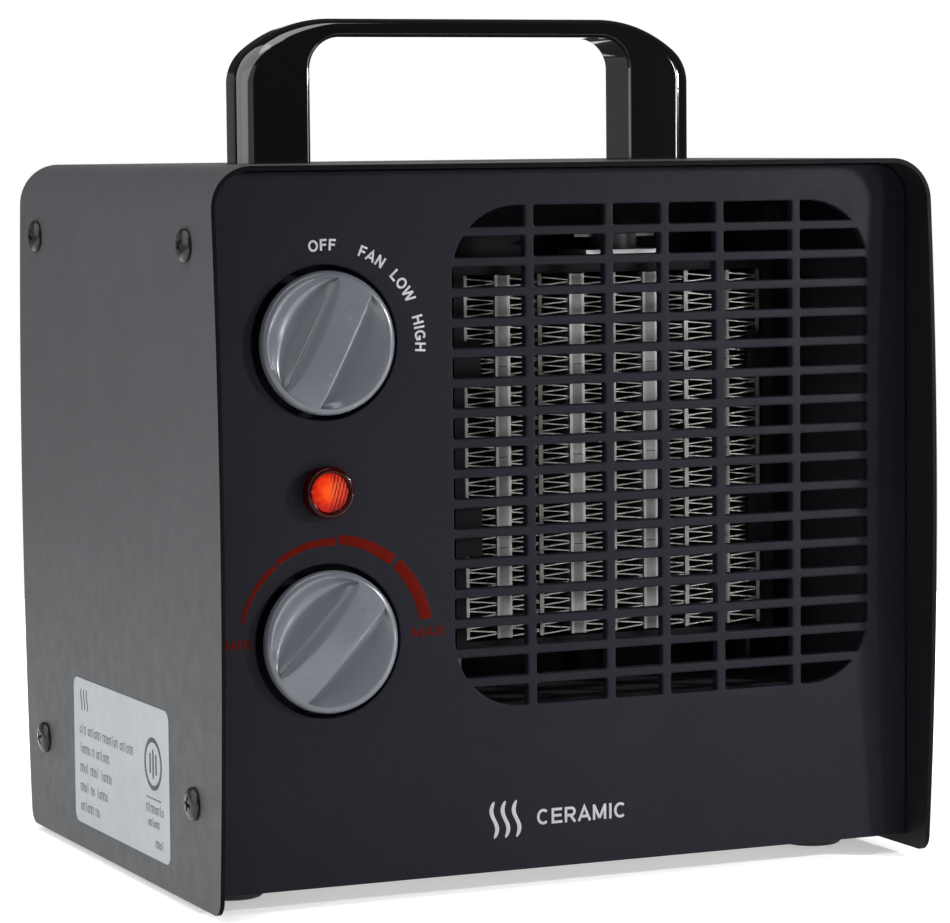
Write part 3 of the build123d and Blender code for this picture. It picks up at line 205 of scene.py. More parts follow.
# ---- mesh helpers
def new_object(name, data):
    made = bpy.data.objects.new(name, data)
    bpy.context.scene.collection.objects.link(made)
    return made


def round_edges(thing, width_mm, segments, over_deg):
    """Bevel the edges that turn by more than an angle."""
    bevel = thing.modifiers.new("round_edges", "BEVEL")
    bevel.width = width_mm * MM
    bevel.segments = segments
    bevel.limit_method = "ANGLE"
    bevel.angle_limit = radians(over_deg)


def weight_normals(thing, keep_sharp):
    normals = thing.modifiers.new("normals", "WEIGHTED_NORMAL")
    normals.keep_sharp = keep_sharp
    normals.weight = 80


def new_piece(name, part, body, materials, stands_for=(), sharp_deg=38.0, weighted=True,
              tags=None):
    """Make (points, faces) in millimetres into one piece that rides on a CAD body."""
    mesh = mesh_from(name + "_visual", *part, tags)
    piece = new_object(name, mesh)
    for material in materials:
        mesh.materials.append(material)
    mesh.shade_smooth()
    mesh.set_sharp_from_angle(angle=radians(sharp_deg))
    if weighted:
        weight_normals(piece, True)
    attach(piece, body)
    if stands_for:
        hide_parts(*stands_for)
    return piece


def mesh_from(name, points, faces, tags=None):
    """Mesh from millimetre points; tags is one material index per face."""
    mesh = bpy.data.meshes.new(name)
    mesh.from_pydata([tuple(c * MM for c in p) for p in points], [], faces)
    if tags:
        mesh.polygons.foreach_set("material_index", tags)
    work = bmesh.new()
    work.from_mesh(mesh)
    bmesh.ops.remove_doubles(work, verts=work.verts, dist=1e-7)
    bmesh.ops.recalc_face_normals(work, faces=work.faces)
    work.to_mesh(mesh)
    work.free()
    mesh.update()
    return mesh


def arc_points(centre_x, centre_z, radius, start_deg, end_deg, steps):
    """Points on an arc in the XZ plane; angles run from +X towards +Z."""
    found = []
    for step in range(steps + 1):
        angle = radians(start_deg + (end_deg - start_deg) * step / steps)
        found.append((centre_x + radius * cos(angle), centre_z + radius * sin(angle)))
    return found


def rounded_box(centre_x, centre_z, width, height, radius, steps=4):
    """Closed counter-clockwise outline of a rounded rectangle."""
    half_w, half_h = width / 2 - radius, height / 2 - radius
    found = []
    for sx, sz, start in ((1, 1, 0), (-1, 1, 90), (-1, -1, 180), (1, -1, 270)):
        found += arc_points(centre_x + sx * half_w, centre_z + sz * half_h, radius, start, start + 90, steps)
    return found


def circle_outline(centre_x, centre_z, radius, steps=96):
    return arc_points(centre_x, centre_z, radius, 0, 360 * (steps - 1) / steps, steps - 1)


def clip_to_box(outline, low_x, high_x, low_z, high_z):
    """Part of a convex outline inside an upright rectangle."""
    limits = ((0, low_x, 1), (0, high_x, -1), (1, low_z, 1), (1, high_z, -1))
    for axis, limit, sign in limits:
        kept = []
        for index, point in enumerate(outline):
            after = outline[(index + 1) % len(outline)]
            here = sign * (point[axis] - limit)
            there = sign * (after[axis] - limit)
            if here >= 0:
                kept.append(point)
            if here * there < 0:
                share = here / (here - there)
                kept.append(tuple(p + (a - p) * share for p, a in zip(point, after)))
        outline = kept
        if not outline:
            return []
    tidy = []
    for point in outline:
        if not tidy or dist(point, tidy[-1]) > 0.02:
            tidy.append(point)
    if tidy and dist(tidy[0], tidy[-1]) <= 0.02:
        tidy.pop()
    return tidy if len(tidy) > 2 else []


def round_corners(outline, radius, steps=3, over_deg=25.0):
    """Replace the sharp corners of a closed outline with small arcs."""
    found = []
    count = len(outline)
    for index in range(count):
        before, here, after = (Vector(outline[(index + k) % count]) for k in (-1, 0, 1))
        to_before, to_after = before - here, after - here
        turn = pi - to_before.angle(to_after)
        if degrees(turn) < over_deg:
            found.append(tuple(here))
            continue
        reach = min(radius * tan(turn / 2), 0.45 * to_before.length, 0.45 * to_after.length)
        start = here + to_before.normalized() * reach
        end = here + to_after.normalized() * reach
        for step in range(steps + 1):
            t = step / steps
            found.append(tuple((1 - t) ** 2 * start + 2 * t * (1 - t) * here + t * t * end))
    return found


def shifted(outline, distance):
    """Outline moved by a small distance to the left of its direction of travel."""
    found = []
    count = len(outline)
    for index in range(count):
        before, here, after = (Vector(outline[(index + k) % count]) for k in (-1, 0, 1))
        first = (here - before).normalized()
        second = (after - here).normalized()
        normal = Vector((-(first.y + second.y), first.x + second.x))
        scale = normal.length_squared / 2
        found.append(tuple(here + normal * (distance / max(scale, 0.3))))
    return found


def strip(row, following):
    """Faces between two open rows of as many points."""
    return list(zip(row, row[1:], following[1:], following))


def band(ring, following):
    """Faces between two closed rings of as many points."""
    return strip([*ring, ring[0]], [*following, following[0]])


def pierced_plate(outline, holes, face_y, inward, thickness, edge):
    """Flat plate with rounded front edges. Outline and holes both run counter-clockwise.

    Returns points and faces; face_y is its outer face and inward is +1 towards +Y.
    """
    points, faces = [], []
    loops = [outline] + [hole[::-1] for hole in holes]
    turns = [radians(a) for a in (0, 30, 60, 90)]
    steps = [(edge * (1 - sin(a)), edge * (1 - cos(a))) for a in turns]
    steps.append((0, thickness))
    front_rings, back_rings = [], []
    for loop in loops:
        rings = []
        for inset, depth in steps:
            moved = shifted(loop, inset) if inset else loop
            rings.append([len(points) + k for k in range(len(moved))])
            points += [(x, face_y + inward * depth, z) for x, z in moved]
        for ring, following in zip(rings, rings[1:]):
            faces += band(ring, following)
        front_rings.append(rings[0])
        back_rings.append(rings[-1])
    for rings in (front_rings, back_rings):
        flat = [[Vector((points[k][0], points[k][2], 0)) for k in ring] for ring in rings]
        order = [k for ring in rings for k in ring]
        faces += [tuple(order[k] for k in triangle) for triangle in tessellate_polygon(flat)]
    return points, faces


def merge_parts(*parts):
    """Join several (points, faces) into one."""
    points, faces = [], []
    for part_points, part_faces in parts:
        base = len(points)
        points += part_points
        faces += [tuple(base + k for k in face) for face in part_faces]
    return points, faces


def lathe(profile, centre, axis="Y", steps=96):
    """Turn (radius, height) pairs about a centre; the height runs along the axis, Y or X."""
    points, rings = [], []
    for radius, height in profile:
        rings.append(range(len(points), len(points) + steps))
        for step in range(steps):
            angle = 2 * pi * step / steps
            a, b = radius * cos(angle), radius * sin(angle)
            offset = (a, height, b) if axis == "Y" else (height, a, b)
            points.append(tuple(c + o for c, o in zip(centre, offset)))
    faces = []
    for ring, following in zip(rings, rings[1:]):
        faces += band(ring, following)
    return points, faces


def turned(across, out, swing):
    """Point (across, out) of a dial after a clockwise turn, as seen from the front."""
    return across * cos(swing) + out * sin(swing), out * cos(swing) - across * sin(swing)


# ---- sizes read from the frame
shell_low, shell_high = corners("outer_shell")
panel_low = corners("front_panel")[0]
knob_low, knob_high = corners("mode_knob")
lens_low, lens_high = corners("pilot_lens")
WIDTH = shell_high.x - shell_low.x
SHELL_TOP = shell_high.z
SHELL_BOTTOM = shell_low.z
HALF_DEPTH = 78.0  # shell half depth at its top edge
EDGE_BOW = shell_high.y - HALF_DEPTH
SHEET = 1.2
SHELL_CORNER = 11.0
PLATE_CORNER = 4.0
PANEL_FACE = panel_low.y
PANEL_T = 2.5
REAR_FACE = corners("rear_panel")[1].y
LAMP_X, _, LAMP_Z = middle("pilot_lens")
KNOB_X, _, MODE_Z = middle("mode_knob")
THERMO_Z = middle("thermostat_knob").z
KNOB_R = (knob_high.x - knob_low.x) / 2
KNOB_FACE = knob_low.y
KNOB_BACK = knob_high.y
WELL_R = KNOB_R + 1.3  # round well that each knob stands in
WELL_FLOOR = -60.1
WELL_HOLE_R = 4.6  # hole in its floor for the shaft
LAMP_HOLE_R = 6.2
PLATE_EDGE = 0.45  # rounding of the moulded panels' edges
GRILLE_X = 28.1
GRILLE_TOP = 179.0
ROWS = 17
PITCH = 7.8
SLOT_H = 5.36
FIELD_HALF = 61.1
FIELD_CORNER = 18.0
BAR_W = 2.6
BARS = (-39.2, -16.3, 0.0, 16.3, 39.2)

# ---- the finishes
paint = surface(
    "shell_paint", (0.045, 0.047, 0.051), 0.55, tone=0.04, grain=0.5, grain_depth=0.05, specular=0.35,
    scuff=0.1, fleck=0.09)
# painted shade: the sheet's front and rear edges are near black, though they carry the same grey paint as the
# outside
painted_edge_shade = surface(
    "shell_painted_edge_shade", (0.0016, 0.0015, 0.002), 0.5, grain_mm=0.45, grain=0.3, specular=0.05)
# painted shade: the inside faces and the sheet's feet are near black, as they lie in shade; the scuffs are
# wear
painted_inner_shade_and_wear = surface(
    "shell_painted_inner_shade_and_wear", (0.004, 0.004, 0.0055), 0.5, grain_mm=0.45, grain=0.3, specular=0.2, scuff=0.2)
charcoal = surface(
    "panel_moulding", (0.006, 0.0056, 0.0096), 0.5, tone=0.07, grain_mm=0.36, grain=0.8, grain_depth=0.08,
    specular=0.08, scuff=0.1, fleck=0.3)
gloss_black = surface(
    "handle_gloss", (0.0015, 0.0015, 0.002), 0.05, tone=0.1, rough_swing=0.01, grain_mm=2.2, grain=0.03,
    grain_depth=0.01, specular=0.85, coat=0.2)
knob_grey = surface(
    "knob_moulding", (0.084, 0.091, 0.106), 0.24, tone=0.03, rough_swing=0.04, grain_mm=0.9, grain=0.05,
    grain_depth=0.012, coat=0.15)
rubber = surface("foot_rubber", (0.018, 0.018, 0.018), 0.8, grain=0.4)
black_metal = surface(
    "screw_black", (0.018, 0.016, 0.016), 0.28, tone=0.15, metallic=0.4, grain=0.15, scuff=0.5)
zinc = surface("screw_zinc", (0.56, 0.56, 0.54), 0.3, metallic=1.0, grain=0.12)
galvanised = surface(
    "galvanised_sheet", (0.33, 0.34, 0.34), 0.42, tone=0.16, tone_mm=7.0, metallic=0.9, grain_mm=0.4,
    grain=0.15, stretch=(1, 1, 6))
# painted shade: the duct goes near black above 165 mm, where it lies in shade under the top of the casing
duct_grey = surface(
    "duct_sheet", (0.022, 0.021, 0.025), 0.55, tone=0.1, metallic=0.1, grain=0.2, stretch=(1, 1, 5),
    painted_shade_above=165.0)
frame_black = surface("core_frame", (0.0035, 0.0034, 0.0045), 0.55, grain_mm=0.4, grain=0.4, specular=0.06)
bright_strip = surface(
    "strip_aluminium", (0.17, 0.165, 0.16), 0.34, tone=0.12, tone_mm=5.0, metallic=0.85, grain_mm=0.25,
    grain=0.3, stretch=(1, 1, 0.2))
fin_metal = surface(
    "fin_aluminium", (0.3, 0.295, 0.28), 0.3, tone=0.15, tone_mm=3.0, metallic=0.8, grain_mm=0.3)
stone = surface("ptc_stone", (0.13, 0.125, 0.125), 0.75, tone=0.45, tone_mm=16.0, grain_mm=0.25, grain=0.5)
plate_metal = surface("contact_plate", (0.22, 0.22, 0.215), 0.45, tone=0.15, metallic=0.6, grain_mm=0.3)
black_nylon = surface("black_nylon", (0.016, 0.016, 0.017), 0.48, grain_mm=0.6, grain=0.3)
phenolic = surface("brown_phenolic", (0.12, 0.075, 0.04), 0.5, grain=0.3)
brass = surface("brass", (0.62, 0.44, 0.18), 0.32, metallic=1.0, grain_mm=0.4, grain=0.2)
steel = surface(
    "ground_steel", (0.5, 0.5, 0.5), 0.22, metallic=1.0, grain_mm=0.3, grain=0.15, stretch=(1, 0.15, 1))
steatite = surface("steatite", (0.68, 0.65, 0.58), 0.7, grain_mm=0.3, grain=0.4)
lamination = surface(
    "laminations", (0.2, 0.2, 0.2), 0.45, metallic=0.8, tone=0.2, grain=0.8, stretch=(0.05, 1, 0.05))
amber_tape = surface("amber_tape", (0.42, 0.26, 0.04), 0.35, tone=0.12, grain_mm=0.8, grain=0.3, coat=0.3)
nylon = surface("natural_nylon", (0.62, 0.6, 0.52), 0.45, grain_mm=0.6)
sleeving = surface("lead_sleeving", (0.5, 0.5, 0.48), 0.6, grain_mm=0.3, grain=0.6)
# painted shade: the strip goes near black above 167.2 mm, where it lies in shade under the top of the casing
tarnish_and_painted_shade = surface(
    "strip_tarnish_and_painted_shade", (0.4, 0.39, 0.4), 0.34, tone=0.12, tone_mm=5.0, metallic=0.6, grain_mm=0.3, grain=0.3,
    painted_shade_above=167.2)
label_film = surface("label_film", (0.27, 0.29, 0.315), 0.45, tone=0.03, grain_mm=0.6, grain=0.1)
label_ink = surface("label_ink", (0.022, 0.022, 0.03), 0.5, tone=0.1, grain_mm=0.4, grain=0.2)
white_ink = surface("white_print", (0.33, 0.33, 0.35), 0.5, tone=0.08, tone_mm=1.5, grain_mm=0.3, grain=0.2)
mark_ink = surface("mark_print", (0.27, 0.27, 0.285), 0.45, tone_mm=2.0, grain_mm=0.3, grain=0.2)
red_ink = surface(
    "red_print", (0.066, 0.0032, 0.001), 0.5, specular=0.02, tone=0.12, tone_mm=2.0, grain_mm=0.35, grain=0.3)
lens_material = glowing_lens()
lens_collar = surface(
    "lens_collar", (0.018, 0.0006, 0.0004), 0.12, specular=0.15, tone=0.3, tone_mm=3.0, rough_swing=0.03,
    grain_mm=1.2, grain=0.1, grain_depth=0.02)

FEET = "foot_front_left foot_front_right foot_rear_left foot_rear_right"
cad_finishes = (
    (galvanised, "base_plate thermostat_frame motor_bridge_front motor_bridge_rear"),
    (zinc, "base_screws foot_screws handle_screws handle_washers switch_screws thermostat_rivet"),
    (zinc, "motor_bolts motor_nuts bridge_screws"),
    (rubber, FEET),
    (black_nylon, "cord_inlet pilot_holder thermal_cutoff fan_housing fan_rotor"),
    (phenolic, "mode_switch_body tip_switch_case"),
    (steel, "mode_switch_shaft thermostat_shaft motor_shaft fan_clip tip_switch_pin"),
    (brass, "mode_switch_tabs thermostat_blades bearing_front bearing_rear"),
    (brass, "tip_switch_pendulum terminal_screws"),
    (steatite, "thermostat_insulators"),
    (lens_material, "pilot_bulb"),
    (duct_grey, "air_duct"),
    (frame_black, "heater_frame"),
    (fin_metal, "heater_fins"),
    (stone, "ceramic_stones"),
    (plate_metal, "contact_plates"),
    (bright_strip, "electrode_strips"),
    (tarnish_and_painted_shade, "cutoff_bracket"),
    (black_metal, "core_screws"),
    (lamination, "motor_stator motor_rotor"),
    (amber_tape, "motor_coil"),
    (nylon, "motor_bobbin terminal_block"),
    (sleeving, "wiring"),
)
for material, names in cad_finishes:
    for name in names.split():
        node = nodes[name]
        if node.material_slots:
            for material_slot in node.material_slots:
                material_slot.material = material
        else:
            node.data.materials.append(material)

for name in (FEET + " cord_inlet fan_rotor").split():
    weld = nodes[name].modifiers.new("weld", "WELD")
    weld.merge_threshold = 0.01 * MM
    round_edges(nodes[name], 0.35, 3, 40)


# ---- shell
def half_depth_at(z):
    """Half the shell's depth at a height: bowed edges, and small corners at the bottom."""
    mid = (SHELL_TOP + SHELL_BOTTOM) / 2
    half_height = (SHELL_TOP - SHELL_BOTTOM) / 2
    radius = (half_height ** 2 + EDGE_BOW ** 2) / (2 * EDGE_BOW)
    depth = HALF_DEPTH + EDGE_BOW - radius + sqrt(radius ** 2 - (z - mid) ** 2)
    low = SHELL_BOTTOM + PLATE_CORNER - z
    if low > 0:
        depth -= PLATE_CORNER - sqrt(max(0.0, PLATE_CORNER ** 2 - low ** 2))
    return depth


def shell_path(inset):
    """Section of the folded sheet from the left plate's foot, over the top, to the right plate's foot."""
    half = WIDTH / 2 - inset
    radius = SHELL_CORNER - inset
    centre_x = WIDTH / 2 - SHELL_CORNER
    centre_z = SHELL_TOP - SHELL_CORNER
    rise = [SHELL_BOTTOM + PLATE_CORNER * (1 - cos(pi / 2 * k / 8)) for k in range(9)]
    rise += [rise[-1] + (centre_z - rise[-1]) * k / 26 for k in range(1, 26)]
    left = [(-half, z) for z in rise]
    left += arc_points(-centre_x, centre_z, radius, 180, 90, 14)
    top = [(-centre_x + 2 * centre_x * k / 24, SHELL_TOP - inset) for k in range(1, 24)]
    return left + top + [(-x, z) for x, z in reversed(left)]


def build_shell():
    """Folded sheet, its faces tagged 0 outside, 1 inside and at the feet, 2 on the front and rear edges."""
    shares = [-1 + 2 * k / 20 for k in range(21)]
    points, faces, tags = [], [], []

    def add_strips(rows, tag):
        for row, following in zip(rows, rows[1:]):
            faces.extend(strip(row, following))
            tags.extend([tag] * (len(row) - 1))

    layers = []
    for path in (shell_path(0), shell_path(SHEET)):
        rows = []
        for x, z in path:
            rows.append(range(len(points), len(points) + len(shares)))
            points += [(x, share * half_depth_at(z), z) for share in shares]
        add_strips(rows, len(layers))
        layers.append(rows)
    for end in (0, -1):
        add_strips([[row[end] for row in rows] for rows in layers], 2)
        add_strips([rows[end] for rows in layers], 1)
    # the inside and feet take the painted inner shade, the front and rear edges the painted edge shade
    shell = new_piece("shell", (points, faces), "casing", [paint, painted_inner_shade_and_wear, painted_edge_shade], ["outer_shell"],
                      weighted=False, tags=tags)
    round_edges(shell, 0.32, 3, 50)
    weight_normals(shell, False)


build_shell()

# ---- front panel
PANEL_INSET = SHEET + 0.2  # from the shell's outside to the panel's edge
PANEL_HALF = WIDTH / 2 - PANEL_INSET
PANEL_TOP = SHELL_TOP - PANEL_INSET
PANEL_BOTTOM = panel_low.z


def panel_outline():
    """Counter-clockwise: square lower corners, upper corners that follow the shell's bend."""
    radius = SHELL_CORNER - PANEL_INSET
    found = [(-PANEL_HALF, PANEL_BOTTOM), (PANEL_HALF, PANEL_BOTTOM)]
    found += arc_points(PANEL_HALF - radius, PANEL_TOP - radius, radius, 0, 90, 10)
    found += arc_points(-PANEL_HALF + radius, PANEL_TOP - radius, radius, 90, 180, 10)
    return found


def outlet_slots():
    """Every slot of the outlet grille, clipped to the rounded field."""
    field_h = (ROWS - 1) * PITCH + SLOT_H
    field = rounded_box(GRILLE_X, GRILLE_TOP - field_h / 2, 2 * FIELD_HALF, field_h, FIELD_CORNER, 10)
    edges = [-FIELD_HALF]
    for bar in BARS:
        edges += [bar - BAR_W / 2, bar + BAR_W / 2]
    edges.append(FIELD_HALF)
    slots = []
    for row in range(ROWS):
        top = GRILLE_TOP - row * PITCH
        for left, right in zip(edges[0::2], edges[1::2]):
            slot = clip_to_box(field, GRILLE_X + left, GRILLE_X + right, top - SLOT_H, top)
            if slot:
                slots.append(round_corners(slot, 0.55))
    return slots


def well(centre_x, centre_z):
    """Inside of the well behind a knob."""
    profile = [(WELL_R, PANEL_FACE + PANEL_T - 0.05), (WELL_R, WELL_FLOOR), (WELL_HOLE_R, WELL_FLOOR),
               (WELL_HOLE_R, WELL_FLOOR + 1.5)]
    return lathe(profile, (centre_x, 0, centre_z))


front_holes = outlet_slots()
front_holes += [circle_outline(KNOB_X, z, WELL_R) for z in (MODE_Z, THERMO_Z)]
front_holes.append(circle_outline(LAMP_X, LAMP_Z, LAMP_HOLE_R, 48))
plate = pierced_plate(panel_outline(), front_holes, PANEL_FACE, 1, PANEL_T, PLATE_EDGE)
fascia = merge_parts(plate, well(KNOB_X, MODE_Z), well(KNOB_X, THERMO_Z))
new_piece("front_fascia", fascia, "casing", [charcoal], ["front_panel"], sharp_deg=50)

# ---- rear panel
REAR_Z = 111.0  # middle of the intake slots
REAR_COLUMNS, REAR_ROWS = 5, 13
REAR_PITCH_X = 21.4
REAR_SLOT_W, REAR_SLOT_H = 18.8, 4.6
INLET_HOLE_R = 8.0

rear_field = rounded_box(GRILLE_X, REAR_Z, 104.4, 98.2, 14.0, 8)
rear_holes = []
for column in range(REAR_COLUMNS):
    column_x = GRILLE_X + (column - (REAR_COLUMNS - 1) / 2) * REAR_PITCH_X
    for row in range(REAR_ROWS):
        row_z = REAR_Z + (row - (REAR_ROWS - 1) / 2) * PITCH
        slot = clip_to_box(rear_field, column_x - REAR_SLOT_W / 2, column_x + REAR_SLOT_W / 2,
                           row_z - REAR_SLOT_H / 2, row_z + REAR_SLOT_H / 2)
        if slot:
            rear_holes.append(round_corners(slot, 1.0))
inlet = middle("cord_inlet")
rear_holes.append(circle_outline(inlet.x, inlet.z, INLET_HOLE_R, 64))
rear_plate = pierced_plate(panel_outline(), rear_holes, REAR_FACE, -1, PANEL_T, PLATE_EDGE)
new_piece("rear_grille", rear_plate, "casing", [charcoal], ["rear_panel"], sharp_deg=50)

# ---- handle
HANDLE_HALF = 67.8
HANDLE_LEG = 20.2
HANDLE_TOP = corners("handle")[1].z
HANDLE_BAR = 5.2
HANDLE_DEPTH = 16.0
LEG_FOOT = SHELL_TOP - 0.9  # just inside the sheet that the legs stand on
OUTER_EDGE_R = 6.0  # well rounded on the outside of the hoop
INNER_EDGE_R = 1.2
CROWN_R, CROWN_X = 37.0, 40.0  # large bend where the top starts to fall, and its centre
SHOULDER_R = 12.0  # tighter bend that runs into the leg
UNDER_R = 8.6  # bend on the inside of the hoop


def even_points(points, count):
    """Resample a polyline to evenly spaced points."""
    lengths = [0.0]
    for a, b in zip(points, points[1:]):
        lengths.append(lengths[-1] + dist(a, b))
    found = []
    index = 0
    for step in range(count):
        target = lengths[-1] * step / (count - 1)
        while index < len(points) - 2 and lengths[index + 1] < target:
            index += 1
        share = (target - lengths[index]) / (lengths[index + 1] - lengths[index])
        found.append(tuple(a + (b - a) * share for a, b in zip(points[index], points[index + 1])))
    return found


def handle_stations():
    """Matching points on the handle's outer and inner outline, from the right foot to the left."""
    inner_x = HANDLE_HALF - HANDLE_LEG
    under = HANDLE_TOP - HANDLE_BAR
    crown_z = HANDLE_TOP - CROWN_R
    shoulder_x = HANDLE_HALF - SHOULDER_R
    rise = sqrt((CROWN_R - SHOULDER_R) ** 2 - (shoulder_x - CROWN_X) ** 2)
    turn = degrees(atan2(rise, shoulder_x - CROWN_X))
    shoulder_z = crown_z + rise
    outer_bend = arc_points(shoulder_x, shoulder_z, SHOULDER_R, 0, turn, 40)
    outer_bend += arc_points(CROWN_X, crown_z, CROWN_R, turn, 90, 40)[1:]
    bend = 36
    outer_bend = even_points(outer_bend, bend)
    inner_bend = arc_points(inner_x - UNDER_R, under - UNDER_R, UNDER_R, 0, 90, bend - 1)
    legs = [k / 6 for k in range(6)]
    right = []
    for share in legs:
        right.append(((HANDLE_HALF, LEG_FOOT + (shoulder_z - LEG_FOOT) * share),
                      (inner_x, LEG_FOOT + (under - UNDER_R - LEG_FOOT) * share)))
    right += list(zip(outer_bend, inner_bend))
    for share in (0.25, 0.5, 0.75):
        right.append(((CROWN_X * (1 - share), HANDLE_TOP), ((inner_x - UNDER_R) * (1 - share), under)))
    centre = [((0.0, HANDLE_TOP), (0.0, under))]
    left = [((-o[0], o[1]), (-i[0], i[1])) for o, i in reversed(right)]
    return right + centre + left


def build_handle():
    points, rings = [], []
    for outer, inner in handle_stations():
        outer, inner = Vector(outer), Vector(inner)
        width = (outer - inner).length
        across = (outer - inner) / width
        middle = (outer + inner) / 2
        ring = []
        for sa, sy, start in ((1, 1, 0), (-1, 1, 90), (-1, -1, 180), (1, -1, 270)):
            radius_y = OUTER_EDGE_R if sa > 0 else INNER_EDGE_R
            radius_a = min(radius_y, 0.45 * width)
            for step in range(13):
                angle = radians(start + 90 * step / 12)
                a = sa * (width / 2 - radius_a) + radius_a * cos(angle)
                y = sy * (HANDLE_DEPTH / 2 - radius_y) + radius_y * sin(angle)
                place = middle + across * a
                ring.append(len(points))
                points.append((place.x, y, place.y))
        rings.append(ring)
    faces = [tuple(rings[0]), tuple(rings[-1])]
    for ring, following in zip(rings, rings[1:]):
        faces += band(ring, following)
    new_piece("carry_handle", (points, faces), "casing", [gloss_black], ["handle"],
              sharp_deg=60)


build_handle()

# ---- knobs
RIM_R = 1.7  # rounding outside the crest
CREST_R = KNOB_R - RIM_R  # crest of the knob's rim
BAR_END = 5.0  # half the grip bar's width where it meets the rim
BAR_REACH = sqrt(CREST_R ** 2 - BAR_END ** 2)
CROWN = 0.8  # the bar's middle stands this far proud of the rim
SCOOP, RIGHT_SCOOP = 2.6, 2.8  # depths of the hollows to the left and right of the bar
BAR_FIRST, BAR_LAST = 30, 52  # places of the bar's top in each row of the knob's grid
INDEX_V = 11.2  # how far out the index line lies


def knob_surface():
    """Points and faces of one knob in its own plane: across the bar, along it, and depth from its face."""
    rows = 84
    points, faces = [], []

    def add(u, v, depth):
        points.append((u, v, depth))
        return len(points) - 1

    grid = []
    for row in range(rows + 1):
        v = -BAR_REACH * cos(pi * row / rows)
        k = sqrt(max(0.0, 1 - (v / BAR_REACH) ** 2))
        rim = sqrt(CREST_R ** 2 - v * v)
        line = []
        crown = CROWN * (v / BAR_REACH) ** 2
        # left scoop, hollow like a spoon, rising to the rounded crest at the bar's straight left edge
        edge = crown + 1.0 * k
        crest_u, crest_level = -BAR_END - 0.25 * k, edge + 0.4 * k
        for step in range(22):
            q = step / 22
            hollow = SCOOP * k ** 0.8 * sin(pi * q) ** (1.35 - 0.3 * q)
            line.append(add(-rim + (rim + crest_u) * q, v, CROWN + (crest_level - CROWN) * q + hollow))
        line.append(add(crest_u, v, crest_level))
        line.append(add(-BAR_END - 0.12 * k, v, edge + 0.1 * k))
        # gently sloping facet, its rounded ridge, and the bar's top
        start = Vector((-BAR_END + 0.15 * k, edge - 0.08 * k))
        turn = Vector((-BAR_END + 2.3 * k, crown))
        shoulder = turn + (start - turn) * 0.25
        settle = turn + Vector((0.6 * k, 0))
        for step in range(6):
            place = start.lerp(shoulder, step / 6)
            line.append(add(place.x, v, place.y))
        for step in range(6):
            t = step / 6
            place = (1 - t) ** 2 * shoulder + 2 * t * (1 - t) * turn + t * t * settle
            line.append(add(place.x, v, place.y))
        right_u = BAR_END - 0.4 * k
        for step in range(7):
            line.append(add(settle.x + (right_u - settle.x) * step / 6, v, crown))
        # rounded right edge, then down into the right scoop
        round_r = 1.1 * k
        for step in range(1, 9):
            angle = radians(66) * step / 8
            line.append(add(right_u + round_r * sin(angle), v, crown + round_r * (1 - cos(angle))))
        start_u, start_depth = points[line[-1]][0], points[line[-1]][2]
        shallow = max(start_depth, CROWN + RIGHT_SCOOP * k ** 0.8)
        foot_u = start_u + 0.9 * k
        for step in range(1, 6):
            t = step / 5
            line.append(add(start_u + (foot_u - start_u) * t, v,
                            start_depth + (shallow - start_depth) * sin(pi / 2 * t)))
        for step in range(1, 25):
            q = step / 24
            line.append(add(foot_u + (rim - foot_u) * q, v,
                            CROWN + (shallow - CROWN) * sin(pi / 2 * (1 - q)) ** 1.5))
        grid.append(line)
    for lower, upper in zip(grid, grid[1:]):
        faces += strip(lower, upper)
    # the small segments between the bar's ends and the rim
    loop_left = [line[0] for line in grid]
    loop_right = [line[-1] for line in grid]
    cap_loops = []
    for line, sign in ((grid[-1], 1), (grid[0], -1)):
        bar_points = line[BAR_FIRST:BAR_LAST]
        arc = []
        for index in bar_points[1:-1]:
            u = points[index][0]
            arc.append(add(u, sign * sqrt(CREST_R ** 2 - u * u), CROWN + 0.05))
        arc = [bar_points[0], *arc, bar_points[-1]]
        faces += strip(bar_points, arc)
        cap_loops.append(arc)
    loop = loop_left + cap_loops[0][1:-1] + list(reversed(loop_right)) + list(reversed(cap_loops[1]))[1:-1]
    # rim, rounded edge, side and back, all round
    depth = KNOB_BACK - KNOB_FACE
    turns = [radians(a) for a in (15, 30, 45, 60, 75, 90, 110)]
    profile = [(CREST_R + RIM_R * sin(a), CROWN + RIM_R * (1 - cos(a))) for a in turns]
    profile += [(KNOB_R - 1.9, depth - 4.0), (KNOB_R - 2.6, depth), (4.0, depth)]
    previous = loop
    for radius, level in profile:
        ring = []
        for index in loop:
            u, v, _ = points[index]
            size = hypot(u, v)
            ring.append(add(u / size * radius, v / size * radius, level))
        faces += band(previous, ring)
        previous = ring
    return points, faces


def build_knob(name, node, body, centre_z, pointer_deg):
    """One knob, and the index line moulded across its bar's top."""
    swing = radians(pointer_deg)

    def place(u, v):
        x, z = turned(u, v, swing)
        return KNOB_X + x, centre_z + z

    points, faces = knob_surface()
    placed = []
    for u, v, depth in points:
        x, z = place(u, v)
        placed.append((x, KNOB_FACE + depth, z))
    new_piece(name, (placed, faces), body, [knob_grey], [node], sharp_deg=48, weighted=False)
    low_v, high_v = INDEX_V - 0.2, INDEX_V + 0.15
    bar = [place(u, v) for u, v in ((0.2, low_v), (3.2, low_v), (3.2, high_v), (0.2, high_v))]
    top = KNOB_FACE + CROWN * (INDEX_V / BAR_REACH) ** 2
    line = pierced_plate(bar, [], top - 0.12, 1, 0.4, 0.08)
    new_piece(name + "_index", line, body, [knob_grey])


build_knob("mode_dial", "mode_knob", "mode_knob_turner", MODE_Z, 27.0)
build_knob("heat_dial", "thermostat_knob", "thermostat_knob_turner", THERMO_Z, 43.0)


# ---- pilot lamp
LENS_R = 6.65
LENS_FACE_R = 5.0
LENS_BARREL_R = 6.0
LENS_RIB_PITCH = 0.95


